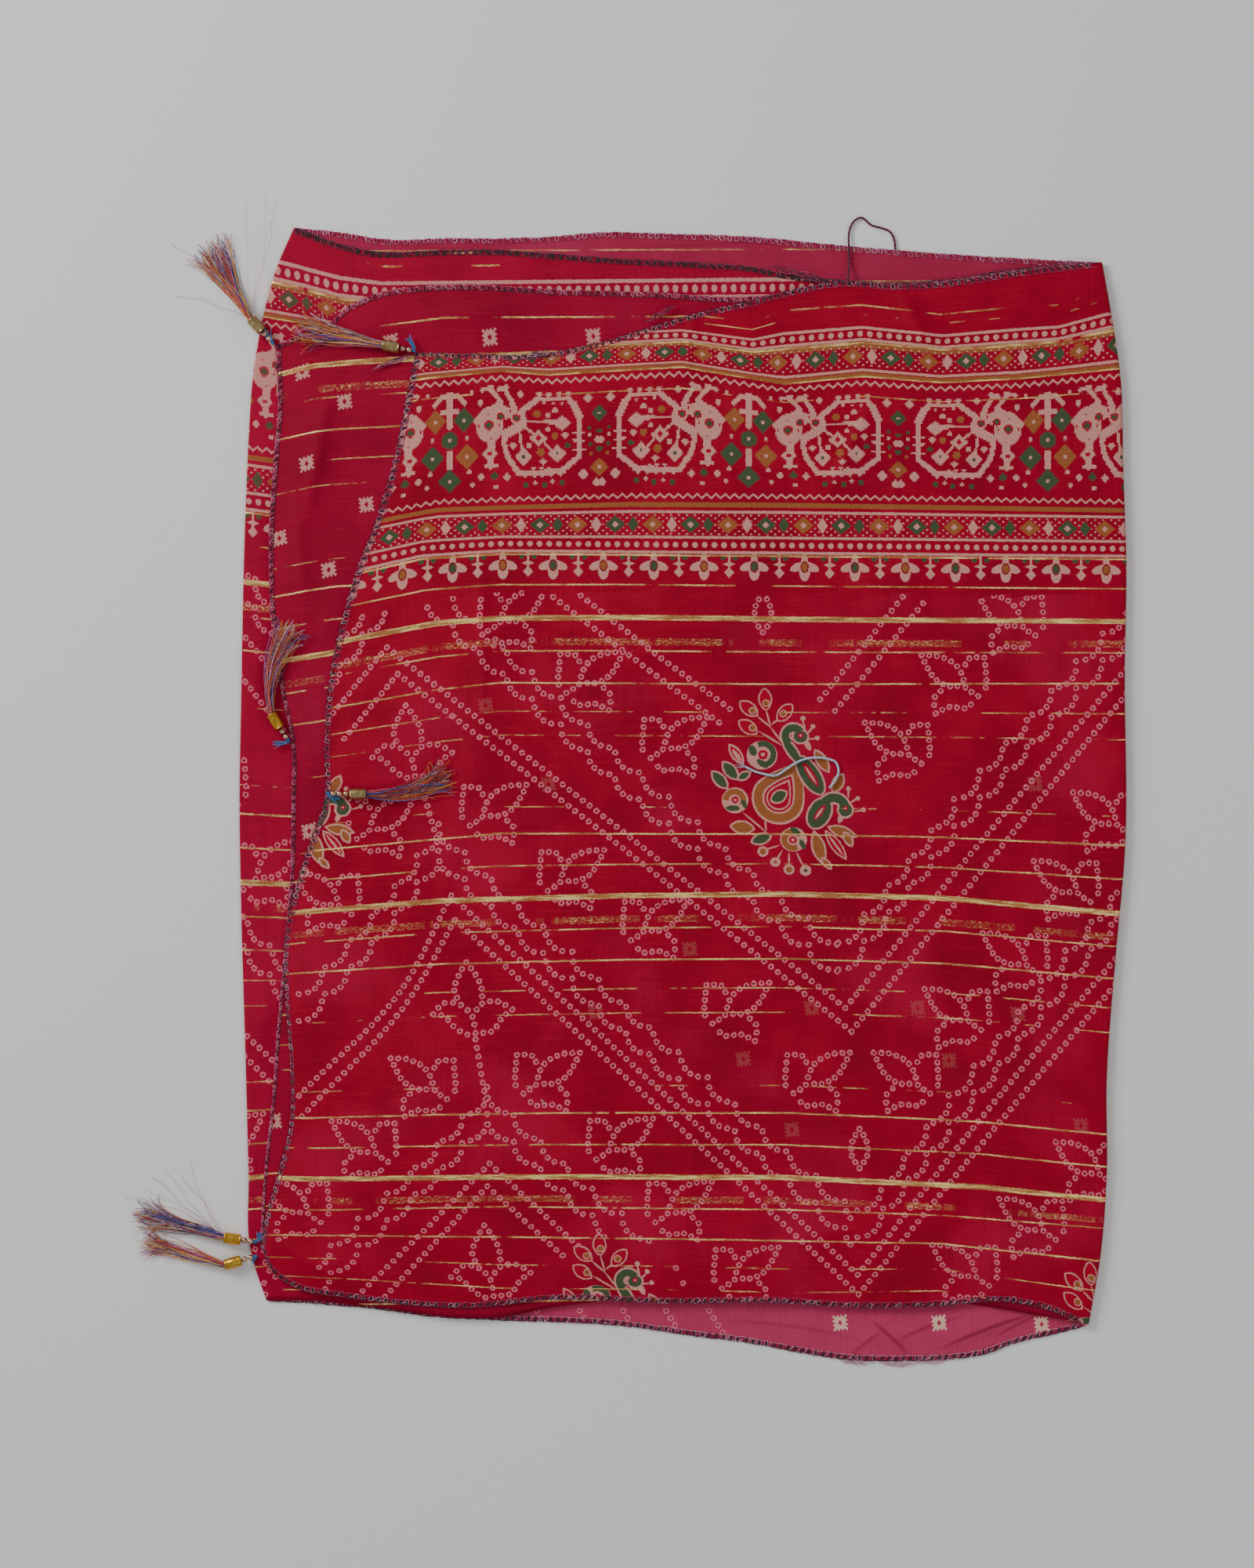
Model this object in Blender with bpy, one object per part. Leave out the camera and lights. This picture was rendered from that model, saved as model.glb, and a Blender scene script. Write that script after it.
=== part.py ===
"""A long printed scarf laid flat, folded end to end and then folded again, with tasselled corners.

The cloth lies in four layers. From the bottom up these are the back, with its wrong side up, the
under layer, the inner layer and the front. The front runs round the right-hand fold into the back,
and the back runs round the left-hand fold into the under layer. Both short ends lie at the left.
Millimetres in the tables, metres in the meshes, +Z up, standing on Z = 0.
"""

import math
from collections import namedtuple

import bmesh
import bpy
import numpy as np
from mathutils import Matrix, Vector

MM = 0.001

# The middle of the outline as measured in the photo, which becomes the origin, in millimetres
CENTRE_X = 2.95
CENTRE_Y = -8.51

# Driving sizes in millimetres
WALL = 1.0          # thickness of one layer
HEM_RISE = 0.3      # how far the rolled edge stands above the layer
HEM_WIDTH = 3.0     # width of the rolled edge
SEAM_GAP = 0.3      # clearance between touching pieces
PITCH = WALL + HEM_RISE + SEAM_GAP
FOLD_STEP_DEG = 25  # turn between two sections of a fold

Point = namedtuple("Point", "x y")
Layer = namedtuple("Layer", "name colour level left right top bottom hems columns rows")
Crease = namedtuple("Crease", "layer x y angle half_length width height")
Tassel = namedtuple(
    "Tassel",
    "name x y heading balls tuft_heading bend length spread tie_z ball_z barrel_z rest_z",
)


def points(*pairs):
    """Named outline points from pairs of numbers."""
    return tuple(Point(*pair) for pair in pairs)


# Outlines in millimetres, left and right edges from the bottom up, top and bottom from the left
RIGHT_FOLD = points(
    (306, -361), (314, -314), (318, -262), (318, -199), (324, -116), (330, -48),
    (330, 76), (331, 144), (329, 206), (327, 269), (321, 310), (315, 344),
)
LEFT_FOLD = points(
    (-239, -344), (-246, -324), (-250, -308), (-251, -262), (-253, -184), (-256, -80),
    (-257, -12), (-256, 50), (-253, 180), (-251, 227), (-248, 269), (-242, 305),
    (-233, 339), (-221, 367),
)
BACK_TOP = points(
    (-221, 367), (-192, 364), (-156, 359), (-125, 360), (-83, 360), (-52, 361),
    (-16, 364), (26, 363), (83, 361), (135, 356), (182, 352), (239, 348), (315, 344),
)
BACK_BOTTOM = points(
    (-239, -344), (-208, -346), (-172, -349), (-125, -355), (-83, -357), (0, -361),
    (42, -367), (81, -372), (114, -378), (146, -383), (182, -384), (213, -383),
    (237, -380), (260, -372), (286, -366), (306, -361),
)
UNDER_TOP = points(
    (-221, 367), (-205, 361), (-187, 355), (-166, 351), (-125, 352), (-83, 352),
    (-42, 349), (0, 346), (42, 344), (83, 341), (109, 336), (135, 333),
    (182, 331), (216, 333), (255, 339), (315, 344),
)
UNDER_BOTTOM = points(
    (-239, -344), (-208, -344), (-180, -347), (-125, -351), (-83, -349), (0, -343),
    (104, -343), (208, -344), (306, -359),
)
INNER_LEFT = points(
    (-243, -307), (-240, -256), (-235, -210), (-232, -168), (-227, -111), (-223, -64),
    (-222, -12), (-222, 24), (-229, 61), (-236, 113), (-237, 160), (-234, 212),
    (-231, 258), (-233, 289),
)
INNER_TOP = points(
    (-233, 289), (-216, 296), (-198, 303), (-185, 314), (-166, 323), (-135, 328),
    (-104, 329), (-52, 326), (16, 324), (83, 321), (125, 327), (143, 330),
    (182, 330), (216, 332), (255, 338), (315, 344),
)
INNER_BOTTOM = points(
    (-243, -307), (-233, -326), (-208, -340), (-177, -346), (-146, -351), (-114, -355),
    (-83, -355), (-52, -349), (0, -343), (104, -342), (208, -343), (306, -359),
)
FRONT_LEFT = points(
    (-242, -308), (-239, -288), (-230, -256), (-223, -226), (-223, -184), (-226, -142),
    (-226, -100), (-219, -69), (-209, -38), (-200, -12), (-200, 24), (-197, 66),
    (-189, 105), (-179, 139), (-166, 173), (-156, 206), (-147, 248), (-140, 284),
)
FRONT_TOP = points(
    (-140, 284), (-104, 283), (-57, 283), (-16, 291), (21, 302), (52, 311),
    (83, 318), (114, 326), (143, 331), (182, 329), (216, 331), (255, 337), (315, 344),
)
FRONT_BOTTOM = points(
    (-242, -308), (-234, -325), (-218, -335), (-187, -341), (-146, -346), (-104, -348),
    (-52, -343), (26, -345), (104, -345), (156, -348), (208, -347), (255, -344),
    (283, -350), (306, -360),
)

LAYERS = (
    Layer("back_layer", (0.50, 0.03, 0.10), 0, LEFT_FOLD, RIGHT_FOLD, BACK_TOP, BACK_BOTTOM,
          ("top", "bottom"), 20, 20),
    Layer("under_layer", (0.44, 0.02, 0.06), 1, LEFT_FOLD, RIGHT_FOLD, UNDER_TOP, UNDER_BOTTOM,
          ("top", "bottom"), 16, 20),
    Layer("inner_layer", (0.40, 0.01, 0.05), 2, INNER_LEFT, RIGHT_FOLD, INNER_TOP, INNER_BOTTOM,
          ("top", "bottom", "left"), 16, 22),
    Layer("front_layer", (0.42, 0.00, 0.05), 3, FRONT_LEFT, RIGHT_FOLD, FRONT_TOP, FRONT_BOTTOM,
          ("top", "bottom", "left"), 30, 32),
)

# Creases lift their own layer and the layers above it; angles in degrees from +X
CREASES = (
    Crease(3, -95, 67, 92, 80, 16, 1.8),
    Crease(3, 42, -260, 88, 85, 17, 1.6),
    Crease(3, 102, 245, -22, 48, 13, 2.2),
    Crease(3, 150, 215, 62, 40, 13, 1.5),
    Crease(3, 191, 300, -57, 30, 13, 1.8),
    Crease(3, -206, -318, -32, 34, 11, 2.2),
    Crease(3, -156, 32, 35, 52, 16, 1.7),
    Crease(3, 270, -85, -12, 42, 15, 2.0),
    Crease(3, 275, -266, -22, 44, 16, 1.8),
    Crease(3, -36, -158, 95, 95, 21, 1.4),
    Crease(3, 185, 150, 88, 75, 17, 1.4),
    Crease(3, 0, 272, -10, 55, 14, 1.7),
    Crease(3, 110, -132, 22, 75, 22, 1.3),
    Crease(3, -140, -215, 65, 60, 18, 1.5),
    Crease(3, 230, 30, 100, 80, 20, 1.4),
    Crease(3, 35, 105, 12, 70, 19, 1.2),
    Crease(2, -208, 215, 82, 58, 12, 1.6),
    Crease(2, -190, 120, 75, 45, 13, 1.2),
    Crease(2, -80, 308, 4, 62, 12, 1.1),
    Crease(0, 178, -364, -25, 32, 9, 1.6),
    Crease(0, 226, -360, 24, 34, 9, 1.8),
)

# Tassels hang from both ends of the cloth, at their corners and half-way down
BALL_RADIUS = 2.0
BARREL_RADIUS = 3.8
BARREL_LENGTH = 11.0
BARREL_WALL = 0.8
BARREL_BORE_DEPTH = 3.6
TIE_RADIUS = 0.8
STRANDS_ACROSS = 6
STRANDS_HIGH = 3
STRAND_SECTIONS = 4
STRAND_HALF = 0.36
HEAD_WIDTH = 4.0
HEAD_HEIGHT = 2.4

TASSELS = (
    Tassel("inner_top", -234, 290, 133, 2, 124, -6, 58, 20, 5.6, 5.8, 7.0, 0.2),
    Tassel("front_top", -140, 285, 170, 2, 168, 4, 58, 14, 7.2, 7.4, 8.6, 4.9),
    Tassel("inner_middle", -223.8, 26, 122, 2, 100, -48, 62, 11, 4.4, 5.2, 6.9, 6.1),
    Tassel("front_middle", -199, -8, 0, 3, -4, 34, 58, 10, 7.2, 8.4, 10.3, 6.5),
    Tassel("inner_bottom", -245, -305, 172, 2, 165, 0, 60, 7, 4.0, 4.9, 4.2, 0.2),
    Tassel("front_bottom", -245, -314, 196, 2, 164, 2, 56, 3, 4.0, 4.9, 4.2, 0.2),
)

# The loose chain of edging thread at the top, from the front's edge over the back's edge
CHAIN_RADIUS = 0.8
CHAIN_ROUTE = (
    (146, 329.5, 7.3), (146, 333, 7.0), (147, 338, 4.6), (147, 344, 2.6), (147, 351, 2.3),
    (147, 357, 2.4), (147, 362, 1.6), (148, 367, 1.2), (151, 372, 1.1), (155, 374, 1.1),
    (162, 369, 1.1), (169, 367, 1.1), (174, 365, 1.1), (177, 360, 1.1), (178, 353, 1.1),
)
# The short pale thread that lies on the front
THREAD_RADIUS = 0.7
THREAD_ROUTE = (
    (134, -4, 7.3), (138, 1, 7.3), (140, 8, 7.3), (138, 13, 7.3), (133, 15, 7.3),
    (126, 16, 7.3), (118, 15, 7.3), (111, 12, 7.3), (105, 8, 7.3), (98, 4, 7.3),
    (91, 5, 7.3), (84, 7, 7.3), (78, 10, 7.3),
)
ROUTE_STEPS = 4


def smooth_through(route, share):
    """The point at a share of the way along the smooth curve through a route's points."""
    p = np.array(route, float)
    station = np.concatenate([[0.0], np.cumsum(np.linalg.norm(np.diff(p, axis=0), axis=1))])
    station /= station[-1]
    slope = np.gradient(p, station, axis=0)
    k = int(np.clip(np.searchsorted(station, share, side="right") - 1, 0, len(p) - 2))
    span = station[k + 1] - station[k]
    t = (share - station[k]) / span
    ease = t * t * (3 - 2 * t)
    start_pull = (t * (1 - t) ** 2) * span * slope[k]
    end_pull = (t * t * (t - 1)) * span * slope[k + 1]
    return p[k] * (1 - ease) + p[k + 1] * ease + start_pull + end_pull


def shares(count, length, hem_start, hem_end):
    """Stations from 0 to 1 with two close ones for the rolled edge at each hemmed end."""
    hem = [HEM_WIDTH / length, 1.6 * HEM_WIDTH / length]
    first = [0.0] + (hem if hem_start else [])
    last = ([1 - hem[1], 1 - hem[0]] if hem_end else []) + [1.0]
    inner = np.linspace(first[-1], last[0], count + 1)[1:-1]
    return first + list(inner) + last


def relief(level, x, y):
    """Height that the creases add at a place on a layer."""
    total = 0.0
    for crease in CREASES:
        if crease.layer > level:
            continue
        turn = math.radians(crease.angle)
        dx, dy = x - crease.x, y - crease.y
        along = dx * math.cos(turn) + dy * math.sin(turn)
        across = -dx * math.sin(turn) + dy * math.cos(turn)
        fade = max(0.0, 1 - (along / crease.half_length) ** 2) ** 2
        total += crease.height * fade * math.exp(-((across / crease.width) ** 2))
    return total


def fold_radius(level):
    """Radius of the middle of the wall at a layer's right-hand fold, down to the layer it joins."""
    top, bottom = {3: (3, 0), 2: (2, 1)}[level]
    return (top - bottom) * PITCH / 2


def middle_height(level):
    """Height of the middle of a layer's wall where it lies plain."""
    return level * PITCH + WALL / 2


def fold_inset(layer):
    """How far a layer's flat part stays inside its left and right outline."""
    outer = fold_radius(3) + WALL / 2
    left = {1: PITCH / 2 + WALL / 2, 0: PITCH / 2 + WALL / 2 + 0.1}.get(layer.level, 0.0)
    right = {3: outer, 2: outer - 0.3, 1: outer + 0.1, 0: outer - 0.5}[layer.level]
    return left, right


def flat_place(layer, s, t):
    """Where a layer's shares (s across, t up) lie in plan: a patch between its four edges."""
    left_inset, right_inset = fold_inset(layer)
    left = smooth_through(layer.left, t) + (left_inset, 0)
    right = smooth_through(layer.right, t) - (right_inset, 0)
    top = smooth_through(layer.top, s)
    bottom = smooth_through(layer.bottom, s)
    slide = np.array(((1 - s) * left_inset - s * right_inset, 0))
    top, bottom = top + slide, bottom + slide
    corners = {
        (0, 0): smooth_through(layer.left, 0) + (left_inset, 0),
        (0, 1): smooth_through(layer.left, 1) + (left_inset, 0),
        (1, 0): smooth_through(layer.right, 0) - (right_inset, 0),
        (1, 1): smooth_through(layer.right, 1) - (right_inset, 0),
    }
    blend = (1 - s) * left + s * right + (1 - t) * bottom + t * top
    for (a, b), corner in corners.items():
        blend = blend - (s if a else 1 - s) * (t if b else 1 - t) * corner
    return blend


def fold_columns(side, radius, height):
    """Sections round a fold: how far out and up each lies from the flat part's end."""
    sections = []
    for angle in range(90 - FOLD_STEP_DEG, -76, -FOLD_STEP_DEG):
        turn = math.radians(angle)
        out = Vector((side * math.cos(turn), 0, math.sin(turn)))
        sections.append((out, radius, height))
    return sections


def layer_sections(layer):
    """The wall's lower and upper points, one list for each column, in metres."""
    width = layer.right[0].x - layer.left[0].x
    height = layer.top[0].y - layer.bottom[0].y
    columns = shares(layer.columns, width, "left" in layer.hems, False)
    rows = shares(layer.rows, height, "bottom" in layer.hems, "top" in layer.hems)
    base = middle_height(layer.level)
    lower, upper = [], []
    for i, s in enumerate(columns):
        low_points, high_points = [], []
        for j, t in enumerate(rows):
            x, y = flat_place(layer, s, t)
            z = base + relief(layer.level, x, y)
            rolled = (
                ("left" in layer.hems and i <= 1)
                or ("bottom" in layer.hems and j <= 1)
                or ("top" in layer.hems and j >= len(rows) - 2)
            )
            floor = 0.0 if layer.level == 0 and z - base < 0.02 else z - WALL / 2
            low_points.append(Vector((x, y, floor)) * MM)
            high_points.append(Vector((x, y, z + WALL / 2 + HEM_RISE * rolled)) * MM)
        lower.append(low_points)
        upper.append(high_points)
    if layer.level in (2, 3):
        radius = fold_radius(layer.level)
        add_fold(layer, rows, lower, upper, 1, 1.0, radius, base - radius)
    if layer.level == 1:
        add_fold(layer, rows, lower, upper, -1, 0.0, PITCH / 2, base - PITCH / 2)
    return lower, upper


def add_fold(layer, rows, lower, upper, side, share, radius, centre_z):
    """Carries a layer's sections on round its fold, at its right (side 1) or left (side -1)."""
    for out, reach, height in fold_columns(side, radius, centre_z):
        low_points, high_points = [], []
        for j, t in enumerate(rows):
            x, y = flat_place(layer, share, t)
            lift = relief(layer.level, x, y) * (1 + out.z) / 2
            centre = Vector((x, y, height + lift))
            rolled = j <= 1 or j >= len(rows) - 2
            low_points.append((centre + out * (reach - WALL / 2)) * MM)
            high_points.append((centre + out * (reach + WALL / 2 + HEM_RISE * rolled * max(0, out.z))) * MM)
        position = len(lower) if side > 0 else 0
        lower.insert(position, low_points)
        upper.insert(position, high_points)


def material(name, colour, roughness, metallic=0.0):
    """A plain Principled finish."""
    made = bpy.data.materials.get(name) or bpy.data.materials.new(name)
    made.use_nodes = True
    shader = made.node_tree.nodes["Principled BSDF"]
    shader.inputs["Base Color"].default_value = (*colour, 1)
    shader.inputs["Roughness"].default_value = roughness
    shader.inputs["Metallic"].default_value = metallic
    return made


def new_object(name, bm, finish, parent=None, smooth_angle=50):
    """Turns a finished bmesh into a named object."""
    bmesh.ops.recalc_face_normals(bm, faces=bm.faces)
    mesh = bpy.data.meshes.new(name)
    bm.to_mesh(mesh)
    bm.free()
    mesh.shade_smooth()
    mesh.set_sharp_from_angle(angle=math.radians(smooth_angle))
    mesh.materials.append(finish)
    made = bpy.data.objects.new(name, mesh)
    bpy.context.scene.collection.objects.link(made)
    made.parent = parent
    return made


def make_layer(layer, parent):
    """One stretch of the cloth as a closed wall through its sections."""
    lower, upper = layer_sections(layer)
    bm = bmesh.new()
    low = [[bm.verts.new(p) for p in column] for column in lower]
    high = [[bm.verts.new(p) for p in column] for column in upper]
    last_i, last_j = len(low) - 1, len(low[0]) - 1
    for i in range(last_i):
        for j in range(last_j):
            bm.faces.new((high[i][j], high[i + 1][j], high[i + 1][j + 1], high[i][j + 1]))
            bm.faces.new((low[i][j], low[i][j + 1], low[i + 1][j + 1], low[i + 1][j]))
        for j in (0, last_j):
            bm.faces.new((low[i][j], low[i + 1][j], high[i + 1][j], high[i][j]))
    for j in range(last_j):
        for i in (0, last_i):
            bm.faces.new((low[i][j], low[i][j + 1], high[i][j + 1], high[i][j]))
    return new_object(layer.name, bm, material(layer.name, layer.colour, 0.7), parent)


def direction(degrees):
    """A unit vector in plan."""
    return Vector((math.cos(math.radians(degrees)), math.sin(math.radians(degrees)), 0))


def bead_string(tassel):
    """Centres of the balls, and the two ends of the barrel, in millimetres."""
    heading = direction(tassel.heading)
    corner = Vector((tassel.x, tassel.y, 0))
    pitch = 2 * BALL_RADIUS + SEAM_GAP
    first = 2.4 + BALL_RADIUS
    step = (tassel.barrel_z - tassel.ball_z) / (tassel.balls + 1)
    balls = [
        corner + heading * (first + k * pitch) + Vector((0, 0, tassel.ball_z + k * step))
        for k in range(tassel.balls)
    ]
    barrel_start = corner + heading * (first + tassel.balls * pitch - BALL_RADIUS)
    barrel_end = barrel_start + heading * BARREL_LENGTH
    lift = Vector((0, 0, tassel.barrel_z))
    return balls, barrel_start + lift, barrel_end + lift


def make_ball(name, centre, finish, parent):
    """One small round bead."""
    bm = bmesh.new()
    bmesh.ops.create_uvsphere(bm, u_segments=8, v_segments=5, radius=BALL_RADIUS * MM)
    made = new_object(name, bm, finish, parent)
    made.location = centre * MM
    return made


def make_barrel(name, start, end, finish, parent):
    """A tube bead whose mouth holds the root of the strands."""
    bm = bmesh.new()
    bmesh.ops.create_cone(
        bm, cap_ends=True, segments=12, radius1=BARREL_RADIUS * MM, radius2=BARREL_RADIUS * MM,
        depth=BARREL_LENGTH * MM,
    )
    mouth = max(bm.faces, key=lambda face: face.calc_center_median().z)
    bmesh.ops.inset_region(bm, faces=[mouth], thickness=BARREL_WALL * MM)
    sunk = bmesh.ops.extrude_discrete_faces(bm, faces=[mouth])["faces"]
    bmesh.ops.translate(bm, verts=sunk[0].verts, vec=(0, 0, -BARREL_BORE_DEPTH * MM))
    made = new_object(name, bm, finish, parent, 35)
    made.rotation_euler = (end - start).to_track_quat("Z", "Y").to_euler()
    made.location = (start + end) / 2 * MM
    return made


def tube(name, route, radius, sides_level, finish, parent):
    """A closed tube along a smooth route given in millimetres."""
    curve = bpy.data.curves.new(name, "CURVE")
    curve.dimensions = "3D"
    curve.bevel_depth = radius * MM
    curve.bevel_resolution = sides_level
    curve.use_fill_caps = True
    steps = ROUTE_STEPS * (len(route) - 1)
    spline = curve.splines.new("POLY")
    spline.points.add(steps)
    for k in range(steps + 1):
        place = smooth_through(route, k / steps) * MM
        spline.points[k].co = (*place, 1)
    curve.materials.append(finish)
    made = bpy.data.objects.new(name, curve)
    bpy.context.scene.collection.objects.link(made)
    made.parent = parent
    return made


def make_tie(name, tassel, first_ball, finish, parent):
    """The thread that ties a tassel's first bead to the edge of the cloth."""
    corner = Vector((tassel.x, tassel.y, tassel.tie_z))
    heading = direction(tassel.heading)
    end = first_ball - heading * (BALL_RADIUS + SEAM_GAP)
    middle = (corner + end) / 2 + Vector((0, 0, 0.3))
    return tube(name, [corner, middle, end], TIE_RADIUS, 1, finish, parent)


def strand_path(tassel, root, column, row):
    """Section centres of one strand of a tuft, from the head outwards."""
    side = 2 * column / (STRANDS_ACROSS - 1) - 1
    uneven = 0.86 + 0.14 * math.sin(2.4 * column + 1.7 * row) ** 2
    step = tassel.length * uneven / STRAND_SECTIONS
    place = root.copy()
    centres = []
    for k in range(1, STRAND_SECTIONS + 1):
        share = k / STRAND_SECTIONS
        turn = tassel.tuft_heading + tassel.bend * share + side * tassel.spread * min(1, 2 * share)
        place = place + direction(turn) * step
        sink = min(1.0, 1.6 * share)
        sink = sink * sink * (3 - 2 * sink)
        rest = tassel.rest_z + STRAND_HALF + row * (2 * STRAND_HALF + SEAM_GAP)
        centres.append(Vector((place.x, place.y, root.z * (1 - sink) + rest * sink)))
    return centres


def make_strands(name, tassel, barrel_end, finish, parent):
    """A tuft: strands that grow out of one small head in the barrel's mouth."""
    heading = direction(tassel.heading)
    across = Vector((-heading.y, heading.x, 0))
    up = Vector((0, 0, 1))
    bm = bmesh.new()
    bmesh.ops.create_grid(bm, x_segments=STRANDS_ACROSS, y_segments=STRANDS_HIGH, size=0.5)
    fronts = list(bm.faces)
    back = bmesh.ops.extrude_face_region(bm, geom=fronts, use_keep_orig=True)["geom"]
    bmesh.ops.translate(
        bm, verts=[g for g in back if isinstance(g, bmesh.types.BMVert)], vec=(0, 0, -1)
    )
    depth = BARREL_BORE_DEPTH - SEAM_GAP
    axes = Matrix((across * HEAD_WIDTH, up * HEAD_HEIGHT, heading * depth)).transposed()
    bmesh.ops.transform(bm, matrix=axes.to_4x4(), verts=bm.verts)
    bmesh.ops.translate(bm, verts=bm.verts, vec=barrel_end)
    for face in fronts:
        centre = face.calc_center_median()
        offset = centre - barrel_end
        column = round((offset.dot(across) / HEAD_WIDTH + 0.5) * STRANDS_ACROSS - 0.5)
        row = round((offset.dot(up) / HEAD_HEIGHT + 0.5) * STRANDS_HIGH - 0.5)
        bmesh.ops.inset_region(bm, faces=[face], thickness=0.07)
        grow_strand(bm, face, tassel, strand_path(tassel, centre, column, row), across, up)
    bmesh.ops.scale(bm, vec=(MM, MM, MM), verts=bm.verts)
    return new_object(name, bm, finish, parent)


def grow_strand(bm, face, tassel, centres, across, up):
    """Extrudes one face of the head through a strand's sections."""
    previous = face.calc_center_median()
    for k, centre in enumerate(centres):
        face = bmesh.ops.extrude_discrete_faces(bm, faces=[face])["faces"][0]
        middle = face.calc_center_median()
        ahead = (centre - previous).normalized()
        side = Vector((-ahead.y, ahead.x, 0)).normalized()
        half = STRAND_HALF * (1 - 0.3 * k / STRAND_SECTIONS)
        for vert in face.verts:
            offset = vert.co - middle
            lateral = math.copysign(half, offset.dot(across))
            vertical = math.copysign(half, offset.dot(up))
            vert.co = centre + side * lateral + up * vertical
        across = side
        previous = centre
    return face


def make_tassel(tassel, parent, finishes):
    """One tassel: its tie, two balls, barrel and tuft."""
    balls, barrel_start, barrel_end = bead_string(tassel)
    for k, centre in enumerate(balls):
        make_ball(f"ball_{tassel.name}_{k + 1}", centre, finishes["bead"], parent)
    make_barrel(f"barrel_{tassel.name}", barrel_start, barrel_end, finishes["bead"], parent)
    make_tie(f"tie_{tassel.name}", tassel, balls[0], finishes["tie"], parent)
    make_strands(f"tuft_{tassel.name}", tassel, barrel_end, finishes["tuft"], parent)


def main():
    """Builds the scarf."""
    for existing in list(bpy.data.objects):
        bpy.data.objects.remove(existing)
    scarf = bpy.data.objects.new("scarf", None)
    bpy.context.scene.collection.objects.link(scarf)
    scarf.location = Vector((-CENTRE_X, -CENTRE_Y, 0)) * MM
    for layer in LAYERS:
        make_layer(layer, scarf)
    finishes = {
        "bead": material("gold_bead", (0.72, 0.50, 0.20), 0.3, 1.0),
        "tie": material("blue_tie", (0.05, 0.25, 0.45), 0.6),
        "tuft": material("mixed_thread", (0.45, 0.20, 0.22), 0.5),
    }
    for tassel in TASSELS:
        make_tassel(tassel, scarf, finishes)
    chain = material("chain_thread", (0.35, 0.02, 0.15), 0.6)
    tube("loose_chain", CHAIN_ROUTE, CHAIN_RADIUS, 2, chain, scarf)
    pale = material("pale_thread", (0.45, 0.58, 0.68), 0.6)
    tube("pale_thread", THREAD_ROUTE, THREAD_RADIUS, 2, pale, scarf)


main()
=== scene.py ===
"""A printed silk scarf with beaded tassels, folded into four layers and laid flat.

Measured tables are in millimetres, or in pixels of a 1600 x 2000 picture at 0.52 mm a pixel where
they say so. Meshes are in metres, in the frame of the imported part.
"""

import logging
import math
from dataclasses import dataclass
from enum import Enum
from functools import cache
from typing import Callable, Sequence

import bmesh
import bpy
import numpy as np
from mathutils import Matrix, Vector
from mathutils.kdtree import KDTree


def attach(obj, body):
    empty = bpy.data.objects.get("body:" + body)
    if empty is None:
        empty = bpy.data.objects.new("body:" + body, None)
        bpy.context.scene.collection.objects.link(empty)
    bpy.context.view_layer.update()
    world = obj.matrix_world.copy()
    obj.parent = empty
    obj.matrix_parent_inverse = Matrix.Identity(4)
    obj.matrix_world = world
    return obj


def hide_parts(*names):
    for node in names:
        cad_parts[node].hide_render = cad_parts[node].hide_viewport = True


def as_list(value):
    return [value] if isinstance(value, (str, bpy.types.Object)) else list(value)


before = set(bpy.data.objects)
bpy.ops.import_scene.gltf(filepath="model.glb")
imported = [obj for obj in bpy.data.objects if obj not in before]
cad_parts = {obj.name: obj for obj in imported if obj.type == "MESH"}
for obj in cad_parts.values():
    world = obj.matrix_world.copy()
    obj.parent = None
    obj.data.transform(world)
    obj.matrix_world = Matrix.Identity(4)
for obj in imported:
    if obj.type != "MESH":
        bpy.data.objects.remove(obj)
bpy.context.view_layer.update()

LOG = logging.getLogger("scarf")
MM = 0.001
PIXEL = 0.52                    # millimetres of cloth in one pixel of the picture
PICTURE_MIDDLE = (800.0, 997.0)
ORIGIN = (2.95, -8.51)          # where the part's own origin lies in the measured tables
FAR = 9000.0                    # stands for "no motif near this face"
BACK, UNDER, INNER, FRONT = range(4)    # levels of the four stretches, from the bottom
UP = np.array((0, 0, 1))

Tint = tuple[float, float, float]
Pair = tuple[float, float]


def linear(red: int, green: int, blue: int) -> Tint:
    """Turns a colour as seen on a screen, from 0 to 255, into the light that it stands for."""
    return tuple(
        c / 3294.6 if c <= 10 else ((c / 255 + 0.055) / 1.055) ** 2.4 for c in (red, green, blue)
    )


def from_picture(places: Sequence[Pair]) -> np.ndarray:
    """Places in the picture as measured millimetres.

    Args:
        places: Pairs of pixels, across and down.

    Returns:
        An array of places in the measured tables' millimetres.
    """
    p = np.atleast_2d(np.array(places, float))
    return np.stack(
        [(p[:, 0] - PICTURE_MIDDLE[0]) * PIXEL, (PICTURE_MIDDLE[1] - p[:, 1]) * PIXEL], axis=1
    )


def stations(line: np.ndarray) -> np.ndarray:
    """How far along a line each of its points lies."""
    return np.concatenate([[0.0], np.cumsum(np.linalg.norm(np.diff(line, axis=0), axis=1))])


def headings(line: np.ndarray) -> np.ndarray:
    """Unit vectors along a line, one for each of its points."""
    ahead = np.gradient(line, axis=0)
    return ahead / np.linalg.norm(ahead, axis=1)[:, None]


def in_part(points: np.ndarray) -> np.ndarray:
    """Measured points in millimetres, as points of the part in metres.

    Args:
        points: An array of x, y and z in measured millimetres.

    Returns:
        The same points in the part's frame.
    """
    moved = np.array(points, float)
    moved[..., 0] -= ORIGIN[0]
    moved[..., 1] -= ORIGIN[1]
    return moved * MM


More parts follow.
